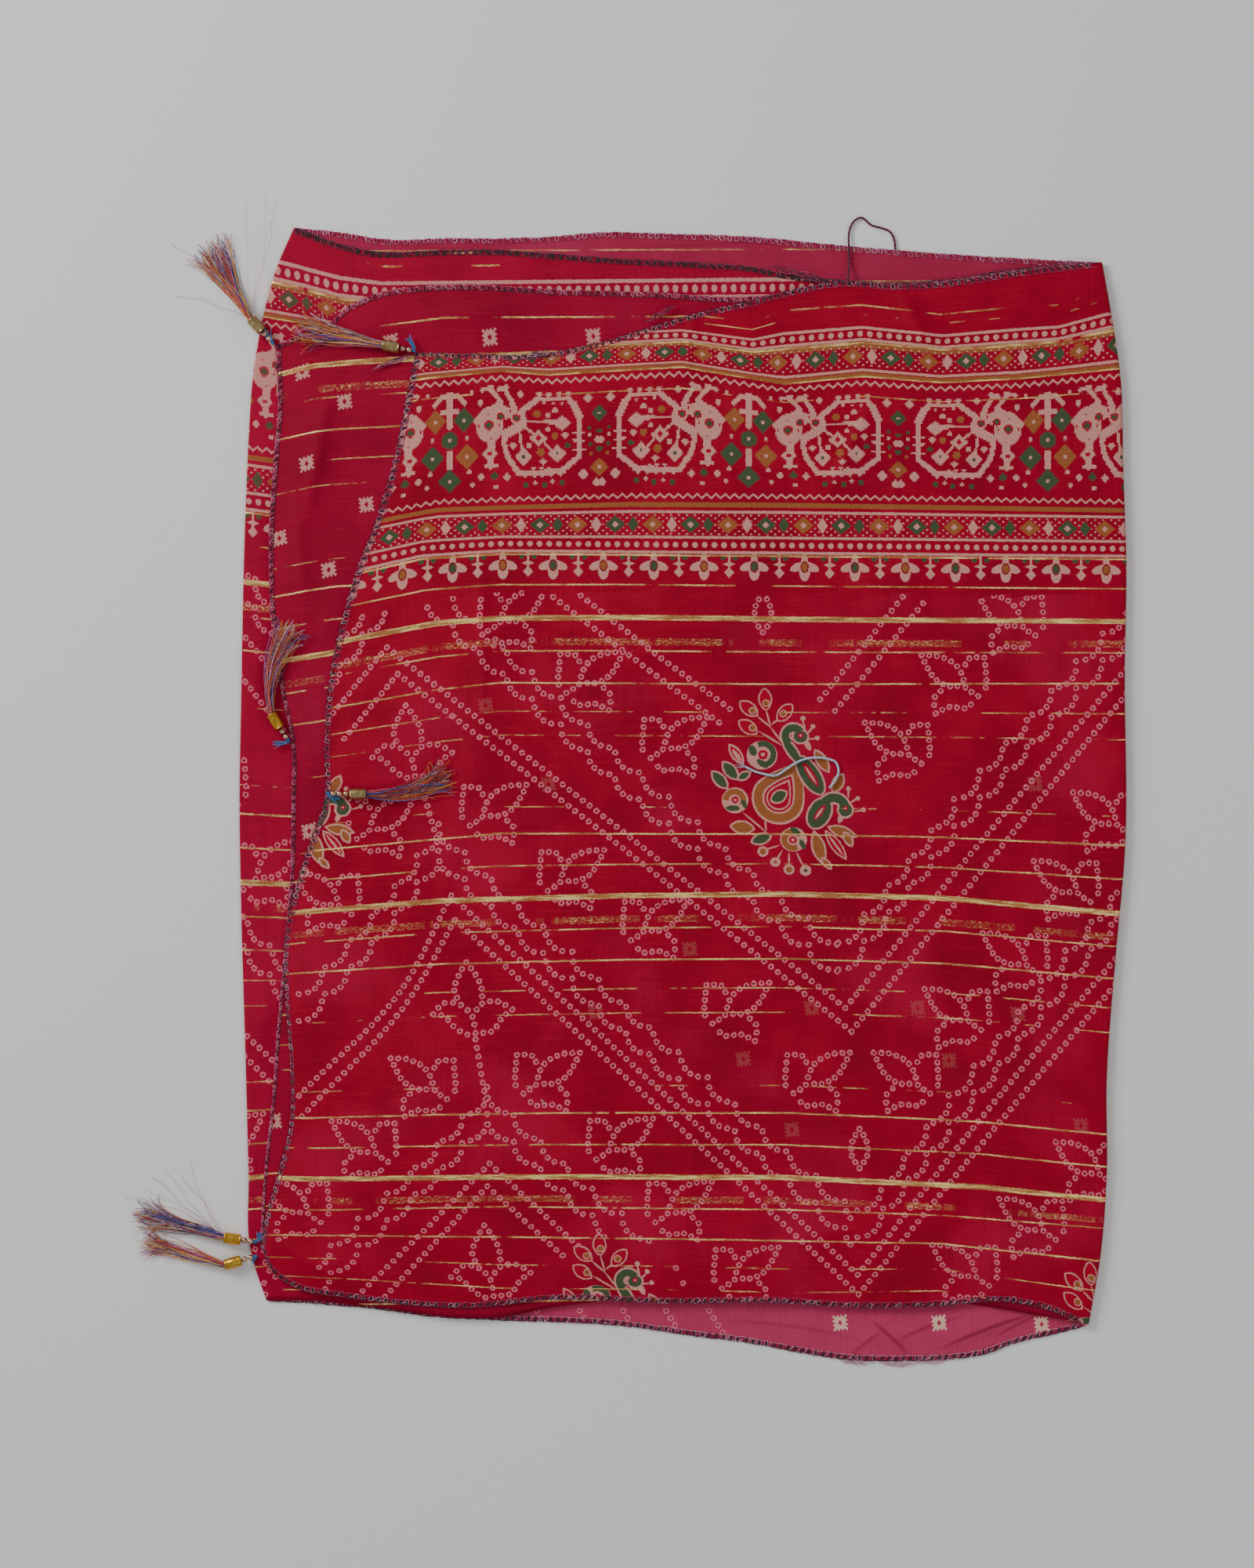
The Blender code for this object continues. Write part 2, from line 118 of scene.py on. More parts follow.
@dataclass(frozen=True)
class Route:
    """A smooth line through a few measured points."""

    points: tuple

    def at(self, shares: np.ndarray) -> np.ndarray:
        """The places at the given shares of the way along.

        Args:
            shares: Numbers from 0 at the start to 1 at the end.

        Returns:
            One place for each share.
        """
        p = np.array(self.points, float)
        station = stations(p)
        station /= station[-1]
        slope = np.gradient(p, station, axis=0)
        shares = np.clip(np.atleast_1d(np.asarray(shares, float)), 0, 1)
        k = np.clip(np.searchsorted(station, shares, side="right") - 1, 0, len(p) - 2)
        span = (station[k + 1] - station[k])[:, None]
        t = (shares - station[k])[:, None] / span
        ease = t * t * (3 - 2 * t)
        pull = t * (1 - t) ** 2 * span * slope[k] + t * t * (t - 1) * span * slope[k + 1]
        return p[k] * (1 - ease) + p[k + 1] * ease + pull

    def evenly(self, spacing: float) -> np.ndarray:
        """Places along the line at about the same spacing.

        Args:
            spacing: The wanted distance between two places.

        Returns:
            The places, the two ends among them.
        """
        fine = self.at(np.linspace(0, 1, 400))
        station = stations(fine)
        count = max(2, round(station[-1] / spacing) + 1)
        wanted = np.linspace(0, station[-1], count)
        return np.stack([np.interp(wanted, station, fine[:, n]) for n in range(fine.shape[1])], 1)


# Outlines of the four stretches, as the solids have them
RIGHT_FOLD = Route((
    (306, -361), (314, -314), (318, -262), (318, -199), (324, -116), (330, -48),
    (330, 76), (331, 144), (329, 206), (327, 269), (321, 310), (315, 344),
))
LEFT_FOLD = Route((
    (-239, -344), (-246, -324), (-250, -308), (-251, -262), (-253, -184), (-256, -80),
    (-257, -12), (-256, 50), (-253, 180), (-251, 227), (-248, 269), (-242, 305),
    (-233, 339), (-221, 367),
))
BACK_TOP = Route((
    (-221, 367), (-192, 364), (-156, 359), (-125, 360), (-83, 360), (-52, 361),
    (-16, 364), (26, 363), (83, 361), (135, 356), (182, 352), (239, 348), (315, 344),
))
BACK_BOTTOM = Route((
    (-239, -344), (-208, -346), (-172, -349), (-125, -355), (-83, -357), (0, -361),
    (42, -367), (81, -372), (114, -378), (146, -383), (182, -384), (213, -383),
    (237, -380), (260, -372), (286, -366), (306, -361),
))
UNDER_TOP = Route((
    (-221, 367), (-205, 361), (-187, 355), (-166, 351), (-125, 352), (-83, 352),
    (-42, 349), (0, 346), (42, 344), (83, 341), (109, 336), (135, 333),
    (182, 331), (216, 333), (255, 339), (315, 344),
))
UNDER_BOTTOM = Route((
    (-239, -344), (-208, -344), (-180, -347), (-125, -351), (-83, -349), (0, -343),
    (104, -343), (208, -344), (306, -359),
))
INNER_LEFT = Route((
    (-243, -307), (-240, -256), (-235, -210), (-232, -168), (-227, -111), (-223, -64),
    (-222, -12), (-222, 24), (-229, 61), (-236, 113), (-237, 160), (-234, 212),
    (-231, 258), (-233, 289),
))
INNER_TOP = Route((
    (-233, 289), (-216, 296), (-198, 303), (-185, 314), (-166, 323), (-135, 328),
    (-104, 329), (-52, 326), (16, 324), (83, 321), (125, 327), (143, 330),
    (182, 330), (216, 332), (255, 338), (315, 344),
))
INNER_BOTTOM = Route((
    (-243, -307), (-233, -326), (-208, -340), (-177, -346), (-146, -351), (-114, -355),
    (-83, -355), (-52, -349), (0, -343), (104, -342), (208, -343), (306, -359),
))
FRONT_LEFT = Route((
    (-242, -308), (-239, -288), (-230, -256), (-223, -226), (-223, -184), (-226, -142),
    (-226, -100), (-219, -69), (-209, -38), (-200, -12), (-200, 24), (-197, 66),
    (-189, 105), (-179, 139), (-166, 173), (-156, 206), (-147, 248), (-140, 284),
))
FRONT_TOP = Route((
    (-140, 284), (-104, 283), (-57, 283), (-16, 291), (21, 302), (52, 311),
    (83, 318), (114, 326), (143, 331), (182, 329), (216, 331), (255, 337), (315, 344),
))
FRONT_BOTTOM = Route((
    (-242, -308), (-234, -325), (-218, -335), (-187, -341), (-146, -346), (-104, -348),
    (-52, -343), (26, -345), (104, -345), (156, -348), (208, -347), (255, -344),
    (283, -350), (306, -360),
))


@dataclass(frozen=True)
class Crease:
    """A soft ridge that a layer shares with those above it, in millimetres and degrees."""

    level: int
    x: float
    y: float
    angle: float
    half_length: float
    width: float
    height: float

    def lift(self, x: np.ndarray, y: np.ndarray) -> np.ndarray:
        """How far the ridge lifts the cloth at some places."""
        turn = math.radians(self.angle)
        dx, dy = x - self.x, y - self.y
        along = dx * math.cos(turn) + dy * math.sin(turn)
        across = -dx * math.sin(turn) + dy * math.cos(turn)
        fade = np.clip(1 - (along / self.half_length) ** 2, 0, None) ** 2
        return self.height * fade * np.exp(-((across / self.width) ** 2))


# The solids' own creases, then the finer ones that only the dressed cloth has. Each row: level,
# x, y, angle, half length, width, height.
CREASES = tuple(Crease(*row) for row in (
    (3, -95, 67, 92, 80, 16, 1.8), (3, 42, -260, 88, 85, 17, 1.6),
    (3, 102, 245, -22, 48, 13, 2.2), (3, 150, 215, 62, 40, 13, 1.5),
    (3, 191, 300, -57, 30, 13, 1.8), (3, -206, -318, -32, 34, 11, 2.2),
    (3, -156, 32, 35, 52, 16, 1.7), (3, 270, -85, -12, 42, 15, 2.0),
    (3, 275, -266, -22, 44, 16, 1.8), (3, -36, -158, 95, 95, 21, 1.4),
    (3, 185, 150, 88, 75, 17, 1.4), (3, 0, 272, -10, 55, 14, 1.7),
    (3, 110, -132, 22, 75, 22, 1.3), (3, -140, -215, 65, 60, 18, 1.5),
    (3, 230, 30, 100, 80, 20, 1.4), (3, 35, 105, 12, 70, 19, 1.2),
    (2, -208, 215, 82, 58, 12, 1.6), (2, -190, 120, 75, 45, 13, 1.2),
    (2, -80, 308, 4, 62, 12, 1.1), (0, 178, -364, -25, 32, 9, 1.6),
    (0, 226, -360, 24, 34, 9, 1.8),
))
FINE_CREASES = tuple(Crease(*row) for row in (
    (3, -96, 90, 91, 100, 3.5, 0.7), (3, 43, -250, 87, 95, 3.0, 0.6),
    (3, 42, 292, 82, 32, 3.0, 0.6), (3, 177, 190, 89, 62, 3.2, 0.6),
    (3, 108, 246, -24, 60, 4.0, 0.9), (3, 148, 222, 66, 52, 3.6, 0.8),
    (3, 193, 302, -60, 34, 3.6, 0.9), (3, -62, 18, -42, 46, 4.2, 0.7),
    (3, -208, -320, -33, 42, 3.4, 1.0), (3, 292, -255, -30, 30, 4.0, 0.8),
    (3, 60, -30, 4, 120, 5.0, 0.5), (3, -120, -70, 80, 80, 4.6, 0.5),
    (3, 255, 100, 70, 60, 4.6, 0.6), (3, 130, -300, 12, 60, 4.0, 0.6),
    (3, -30, 150, 85, 50, 4.0, 0.5), (3, 285, -160, 95, 60, 4.0, 0.5),
    (2, -205, 214, 80, 66, 3.2, 0.9), (2, -216, 150, 95, 60, 3.2, 0.7),
    (2, -100, 311, 8, 60, 3.4, 0.6), (2, -226, -20, 88, 90, 3.0, 0.6),
    (1, -243, 150, 89, 130, 3.2, 0.6), (1, -243, -120, 91, 150, 3.0, 0.5),
    (1, -150, 340, 3, 60, 3.2, 0.6), (0, 60, 357, 2, 90, 3.0, 0.5),
    (0, 175, -368, -43, 19, 2.2, 1.0), (0, 240, -362, 20, 40, 2.6, 1.1),
    (0, 200, -361, 20, 28, 2.2, 0.8), (0, 158, -372, 38, 14, 2.0, 0.8),
    (0, 110, -361, -8, 50, 2.6, 0.5), (0, 262, -358, 26, 24, 2.4, 0.8),
))


def operator(operation: str, swapped: bool = False) -> Callable[..., "Signal"]:
    """A Signal's operator, made of one Math node.

    Args:
        operation: The node's operation.
        swapped: Whether the signal comes after the other value.

    Returns:
        The method.
    """

    def apply(signal: "Signal", *others: "Operand") -> "Signal":
        """Adds the node."""
        values = (*others, signal) if swapped else (signal, *others)
        return signal.recipe.math(operation, *values)

    return apply


class Signal:
    """A number that changes over a surface, so that shader sums read as Python."""

    def __init__(self, recipe: "Recipe", socket: bpy.types.NodeSocket) -> None:
        """Wraps an output socket of a recipe's tree."""
        self.recipe = recipe
        self.socket = socket

    __add__ = __radd__ = operator("ADD")
    __sub__ = operator("SUBTRACT")
    __rsub__ = operator("SUBTRACT", swapped=True)
    __mul__ = __rmul__ = operator("MULTIPLY")
    __truediv__ = operator("DIVIDE")
    __pow__ = operator("POWER")
    __abs__ = operator("ABSOLUTE")
    floor = operator("FLOOR")
    least = operator("MINIMUM")
    most = operator("MAXIMUM")

    def wrap(self, period: float) -> "Signal":
        """Repeats from minus half a period to plus half a period."""
        return self.recipe.math("WRAP", self, period / 2, -period / 2)

    def below(self, limit: "Operand", blur: float = 0.25) -> "Signal":
        """1 where the number is under a limit, with a soft edge of the given width."""
        return self.recipe.math(
            "MULTIPLY_ADD", limit - self if isinstance(limit, Signal) else self, *(
                (1 / blur, 0.5) if isinstance(limit, Signal) else (-1 / blur, limit / blur + 0.5)
            ), clamp=True,
        )

    def above(self, limit: float, blur: float = 0.25) -> "Signal":
        """1 where the number is over a limit, with a soft edge of the given width."""
        return self.recipe.math("MULTIPLY_ADD", self, 1 / blur, 0.5 - limit / blur, clamp=True)

    def near(self, middle: float, half: float, blur: float = 0.25) -> "Signal":
        """1 where the number is within half a width of a middle."""
        return abs(self - middle).below(half, blur)


Operand = Signal | float


class Recipe:
    """One procedural material, built node by node."""

    def __init__(self, name: str) -> None:
        """Starts an empty material with a Principled shader."""
        self.material = bpy.data.materials.new(name)
        self.material.use_nodes = True
        self.tree = self.material.node_tree
        self.tree.nodes.clear()
        self.shader = self.node("ShaderNodeBsdfPrincipled")
        self.node("ShaderNodeOutputMaterial", sockets={"Surface": self.shader.outputs[0]})

    def node(
        self, kind: str, settings: dict | None = None, sockets: dict | None = None
    ) -> bpy.types.Node:
        """Adds a node.

        Args:
            kind: The node's type.
            settings: Its own settings, set first.
            sockets: A value, Signal or output socket for each named or numbered input.

        Returns:
            The new node.
        """
        made = self.tree.nodes.new(kind)
        for key, value in (settings or {}).items():
            setattr(made, key, value)
        for key, value in (sockets or {}).items():
            self.feed(made.inputs[key], value)
        return made

    def feed(self, target: bpy.types.NodeSocket, value: object) -> None:
        """Links or sets one input socket."""
        if isinstance(value, Signal):
            self.tree.links.new(value.socket, target)
        elif isinstance(value, bpy.types.NodeSocket):
            self.tree.links.new(value, target)
        elif target.type == "RGBA":
            target.default_value = (*value, 1.0) if len(value) == 3 else value
        else:
            target.default_value = value

    def math(self, operation: str, *values: Operand, clamp: bool = False) -> Signal:
        """One Math node."""
        made = self.node(
            "ShaderNodeMath", {"operation": operation, "use_clamp": clamp}, dict(enumerate(values))
        )
        return Signal(self, made.outputs[0])

    def vector(self, operation: str, *values: object) -> bpy.types.NodeSocket:
        """One Vector Math node's vector."""
        made = self.node(
            "ShaderNodeVectorMath", {"operation": operation}, dict(enumerate(values))
        )
        return made.outputs[0]

    def length(self, value: bpy.types.NodeSocket) -> Signal:
        """The length of a vector."""
        made = self.node("ShaderNodeVectorMath", {"operation": "LENGTH"}, {0: value})
        return Signal(self, made.outputs["Value"])

    def dot(self, value: bpy.types.NodeSocket, axis: tuple) -> Signal:
        """How far a vector reaches along an axis."""
        made = self.node("ShaderNodeVectorMath", {"operation": "DOT_PRODUCT"}, {0: value, 1: axis})
        return Signal(self, made.outputs["Value"])

    def attribute(self, name: str) -> bpy.types.NodeSocket:
        """A mesh attribute as a vector."""
        return self.node("ShaderNodeAttribute", {"attribute_name": name}).outputs["Vector"]

    def millimetres(self) -> bpy.types.NodeSocket:
        """The object's own coordinates in millimetres."""
        place = self.node("ShaderNodeTexCoord").outputs["Object"]
        return self.vector("MULTIPLY", place, (1000, 1000, 1000))

    def split(self, value: bpy.types.NodeSocket) -> list[Signal]:
        """The three numbers of a vector."""
        return [Signal(self, s) for s in self.node("ShaderNodeSeparateXYZ", {}, {0: value}).outputs]

    def join(self, x: Operand, y: Operand, z: Operand = 0.0) -> bpy.types.NodeSocket:
        """A vector of three numbers."""
        return self.node("ShaderNodeCombineXYZ", {}, {0: x, 1: y, 2: z}).outputs[0]

    def noise(
        self, place: bpy.types.NodeSocket, scale: float, detail: float = 2.0, rough: float = 0.5
    ) -> Signal:
        """Smooth noise from 0 to 1."""
        made = self.node(
            "ShaderNodeTexNoise", {},
            {"Vector": place, "Scale": scale, "Detail": detail, "Roughness": rough},
        )
        return Signal(self, made.outputs["Fac"])

    def mix(self, share: Operand, first: object, second: object) -> bpy.types.NodeSocket:
        """Mixes two colours."""
        made = self.node(
            "ShaderNodeMix", {"data_type": "RGBA"}, {0: share, 6: first, 7: second}
        )
        return made.outputs[2]

    def bump(self, height: Signal, distance: float, strength: float) -> bpy.types.NodeSocket:
        """A normal from a height in metres times a distance."""
        made = self.node(
            "ShaderNodeBump", {}, {"Height": height, "Distance": distance, "Strength": strength}
        )
        return made.outputs[0]

    def dress(self, **inputs: object) -> bpy.types.Material:
        """Feeds the Principled shader, with _ for a space in a socket's name."""
        for name, value in inputs.items():
            self.feed(self.shader.inputs[name.replace("_", " ")], value)
        return self.material


# The lines of the woven print: how far up the cloth each lies, and where the picture shows it.
# A cloth height of 0 is the lowest broad metallic line; the picture's places are in pixels.
FRONT_LINES = (
    (-42.6, ((300, 1575), (370, 1575), (860, 1580), (1200, 1586), (1400, 1608), (1500, 1612))),
    (-22.9, ((300, 1546), (430, 1545), (640, 1541), (1000, 1545), (1200, 1552), (1404, 1568))),
    (0.0, ((300, 1500), (400, 1503), (700, 1500), (1000, 1501), (1250, 1513), (1412, 1530))),
    (184.6, ((300, 1172), (400, 1162), (560, 1149), (800, 1142), (1000, 1140), (1200, 1145),
             (1426, 1165))),
    (226.7, ((300, 1095), (420, 1083), (530, 1073), (640, 1063), (1000, 1064), (1200, 1068),
             (1420, 1078))),
    (327.1, ((300, 925), (420, 904), (560, 880), (640, 871), (1000, 873), (1434, 872))),
    (369.2, ((300, 840), (430, 820), (500, 806), (560, 795), (640, 789), (800, 788), (1100, 791),
             (1434, 793))),
    (416.0, ((400, 735), (465, 720), (540, 703), (640, 697), (1000, 700), (1430, 704))),
    (450.3, ((400, 675), (480, 655), (560, 640), (800, 632), (1000, 633), (1430, 640))),
    (526.2, ((400, 505), (540, 483), (640, 473), (700, 478), (870, 468), (1000, 490),
             (1100, 480), (1200, 488), (1300, 483), (1427, 470))),
    (548.1, ((400, 470), (540, 452), (870, 436), (960, 449), (1100, 437), (1200, 447),
             (1350, 436), (1424, 420))),
)
UNDER_LINES = (
    (-42.6, ((300, 1583), (345, 1580), (1436, 1580))),
    (0.0, ((300, 1504), (345, 1500), (1436, 1500))),
    (184.6, ((300, 1125), (368, 1128), (1436, 1130))),
    (369.2, ((300, 741), (352, 747), (450, 750), (1436, 745))),
    (450.3, ((300, 568), (350, 575), (450, 580), (1436, 570))),
    (521.6, ((300, 402), (338, 413), (367, 418), (450, 430), (1436, 425))),
    (548.1, ((300, 342), (336, 357), (400, 372), (433, 382), (470, 386), (1436, 380))),
    (557.4, ((300, 318), (340, 331), (362, 336), (433, 355), (487, 362), (700, 360),
             (1436, 352))),
)
INNER_LINES = (
    (-184.6, ((300, 1585), (345, 1580), (1436, 1560))),
    (0.0, ((300, 1222), (345, 1212), (430, 1205), (1436, 1190))),
    (184.6, ((300, 860), (345, 846), (430, 832), (1436, 815))),
    (369.2, ((340, 482), (403, 467), (450, 463), (513, 459), (700, 452), (1436, 445))),
    (390.6, ((340, 445), (403, 428), (443, 422), (513, 413), (567, 406), (740, 405),
             (1436, 400))),
)
BACK_LINES = (
    (-42.6, ((300, 1583), (1436, 1583))),
    (548.1, ((300, 376), (1436, 372))),
)


class Print(Enum):
    """Which printed design a part of a layer carries."""

    FIELD = "dotted field"
    BORDER = "figured border"
    BIRDS = "bird and flower spray"
    SPRIGS = "small scattered flowers"


@dataclass(frozen=True)
class DotRow:
    """A run of tied dots along a line, in pixels."""

    points: tuple
    scallop: float = 0.0    # length of one scallop, or 0 for a plain row
    side: int = 1           # the side that the scallops bulge to

    PLAIN_PITCH = 10.9
    SCALLOP_PITCH = 9.8
    DEEP = 13

    def places(self) -> np.ndarray:
        """The centres of the dots."""
        line = Route(self.points).evenly(self.SCALLOP_PITCH if self.scallop else self.PLAIN_PITCH)
        if not self.scallop:
            return line
        ahead = headings(line)
        outward = np.stack([-ahead[:, 1], ahead[:, 0]], axis=1) * self.side
        phase = stations(line) / self.scallop % 1
        return line + outward * (self.DEEP * np.sin(np.pi * phase) ** 0.7)[:, None]


@dataclass(frozen=True)
class DotFlower:
    """A three-petalled flower outlined in tied dots: lines about its middle, in pixels."""

    x: float
    y: float
    outlines: tuple

    PITCH = 10.0
    NEAREST = 7.0           # dots nearer than this to another one are left out

    def places(self) -> np.ndarray:
        """The centres of the dots, with those that petals share left out."""
        kept: list[np.ndarray] = []
        for outline in self.outlines:
            for spot in Route(outline).evenly(self.PITCH):
                spot = spot + (self.x, self.y)
                if all(np.linalg.norm(spot - other) > self.NEAREST for other in kept):
                    kept.append(spot)
        return np.array(kept)


def pairs(upper: tuple, lower: tuple) -> tuple[DotRow, DotRow]:
    """Two plain rows of dots side by side."""
    return DotRow(upper), DotRow(lower)


def scallops(points: tuple, side: int) -> tuple[DotRow, DotRow]:
    """Two scalloped rows of dots, one above the other."""
    long, rise = 47.0, 34
    raised = tuple((x, y - rise) for x, y in points)
    return DotRow(points, long, side), DotRow(raised, long, side)


LEANING = (
    ((-43, -37), (-19, -35), (1, -24), (10, -8), (12, 2), (29, 15)),
    ((-43, -37), (-36, -22), (-27, -8), (-10, 2), (12, 2)), ((37, -34), (18, -33), (9, -16)),
    ((37, -34), (39, -12), (39, 4), (29, 15), (14, 30), (-8, 29), (-25, 37)),
    ((-25, 37), (-27, 18), (-10, 2)),
)
MIRRORED = tuple(tuple((-x, y) for x, y in outline) for outline in LEANING)
UPRIGHT = (
    ((-50, 14), (-36, 0), (-15, 2), (0, 17), (4, 38)),
    ((-50, 14), (-38, 16), (-22, 31), (-6, 40), (4, 38)),
    ((51, 8), (33, -2), (12, 1), (0, 17)), ((51, 8), (38, 18), (26, 35), (4, 38)),
    ((-15, 2), (-23, -17), (-16, -38), (-8, -52)), ((12, 1), (12, -18), (3, -38), (-8, -52)),
)
BUD = (((0, 24), (-10, 8), (-9, -10), (0, -26)), ((0, 24), (10, 8), (9, -10), (0, -26)))
DOT_ROWS = (
    DotRow(((537, 998), (557, 1068))), DotRow(((607, 1325), (620, 1402))),
    *pairs(((494, 826), (790, 1057), (1078, 1285)), ((508, 860), (800, 1086), (1086, 1315))),
    *pairs(((1078, 1285), (1260, 1062), (1450, 836)), ((1086, 1315), (1270, 1088), (1450, 868))),
    *pairs(((494, 826), (440, 892), (385, 960)), ((508, 860), (450, 930), (385, 1008))),
    *pairs(((576, 1142), (840, 1388), (1094, 1625)), ((581, 1173), (840, 1412), (1095, 1650))),
    *pairs(((1094, 1625), (1270, 1402), (1450, 1190)), ((1095, 1650), (1280, 1424), (1450, 1222))),
    *pairs(((576, 1142), (516, 1257), (382, 1397)), ((581, 1173), (524, 1272), (386, 1423))),
    *pairs(((625, 1483), (720, 1572), (830, 1668)), ((622, 1512), (700, 1584), (800, 1672))),
    *pairs(((625, 1483), (540, 1570), (440, 1668)), ((622, 1512), (550, 1590), (470, 1676))),
    *pairs(((741, 760), (840, 837), (940, 911)), ((706, 762), (800, 834), (935, 935))),
    *pairs(((1151, 762), (1095, 832), (1039, 901)), ((1177, 770), (1112, 850), (1051, 924))),
    *scallops(((545, 762), (800, 1000), (1069, 1236)), 1),
    *scallops(((1069, 1236), (1250, 1012), (1450, 790)), 1),
    *scallops(((560, 1085), (820, 1330), (1093, 1577)), 1),
    *scallops(((1093, 1577), (1270, 1352), (1450, 1130)), 1),
    *scallops(((560, 1085), (470, 1200), (380, 1300)), -1),
    *scallops(((622, 1420), (740, 1530), (880, 1660)), 1),
    *scallops(((622, 1420), (520, 1525), (400, 1640)), -1),
    *scallops(((490, 770), (440, 835), (390, 900)), -1),
)
DOT_FLOWERS = tuple(DotFlower(*row) for row in (
    (526, 952, UPRIGHT), (629, 1038, MIRRORED), (752, 869, MIRRORED), (859, 952, MIRRORED),
    (728, 1121, MIRRORED), (834, 1184, MIRRORED), (485, 1055, MIRRORED), (420, 1151, LEANING),
    (652, 790, MIRRORED), (1146, 959, LEANING), (1218, 873, LEANING), (1291, 796, LEANING),
    (1411, 1048, LEANING), (1361, 1135, LEANING), (1296, 1227, LEANING), (603, 1279, UPRIGHT),
    (542, 1386, LEANING), (697, 1379, MIRRORED), (467, 1466, LEANING), (790, 1463, MIRRORED),
    (381, 1543, LEANING), (626, 1614, UPRIGHT), (865, 1543, MIRRORED), (938, 1290, MIRRORED),
    (1041, 1379, MIRRORED), (1157, 1379, LEANING), (1222, 1298, LEANING), (1389, 1493, LEANING),
    (1317, 1565, LEANING), (1232, 1624, LEANING), (950, 1627, MIRRORED), (1096, 1465, BUD),
    (973, 783, BUD),
))
BIRD_SPRAYS = ((1000, 1000), (360, 1012), (789, 1692), (1414, 1742))
SPRAY_HALF = (58.0, 68.0)       # millimetres that a spray reaches across and up
DOT_ATTRIBUTES = ("dot_first", "dot_second", "dot_third")   # each face's nearest tied dots

# Small flowers on the inner layer and on the back, and where they shine through the front
INNER_SPRIGS = (
    (386, 475), (440, 513), (392, 592), (625, 431), (757, 430), (499, 437), (468, 644),
    (357, 687), (420, 727), (368, 808), (350, 1430), (889, 428), (1020, 426), (360, 940),
    (395, 1060), (352, 1180), (388, 1310), (362, 1560),
)
BACK_SPRIGS = ((1072, 1687), (1198, 1687), (1329, 1689))
FRONT_GHOSTS = (
    (1035, 1285), (1170, 1285), (1298, 1293), (948, 1350), (1210, 1352), (1378, 1435),
    (880, 1210), (760, 1290), (1010, 1440), (700, 1000), (1320, 1000), (620, 900),
)


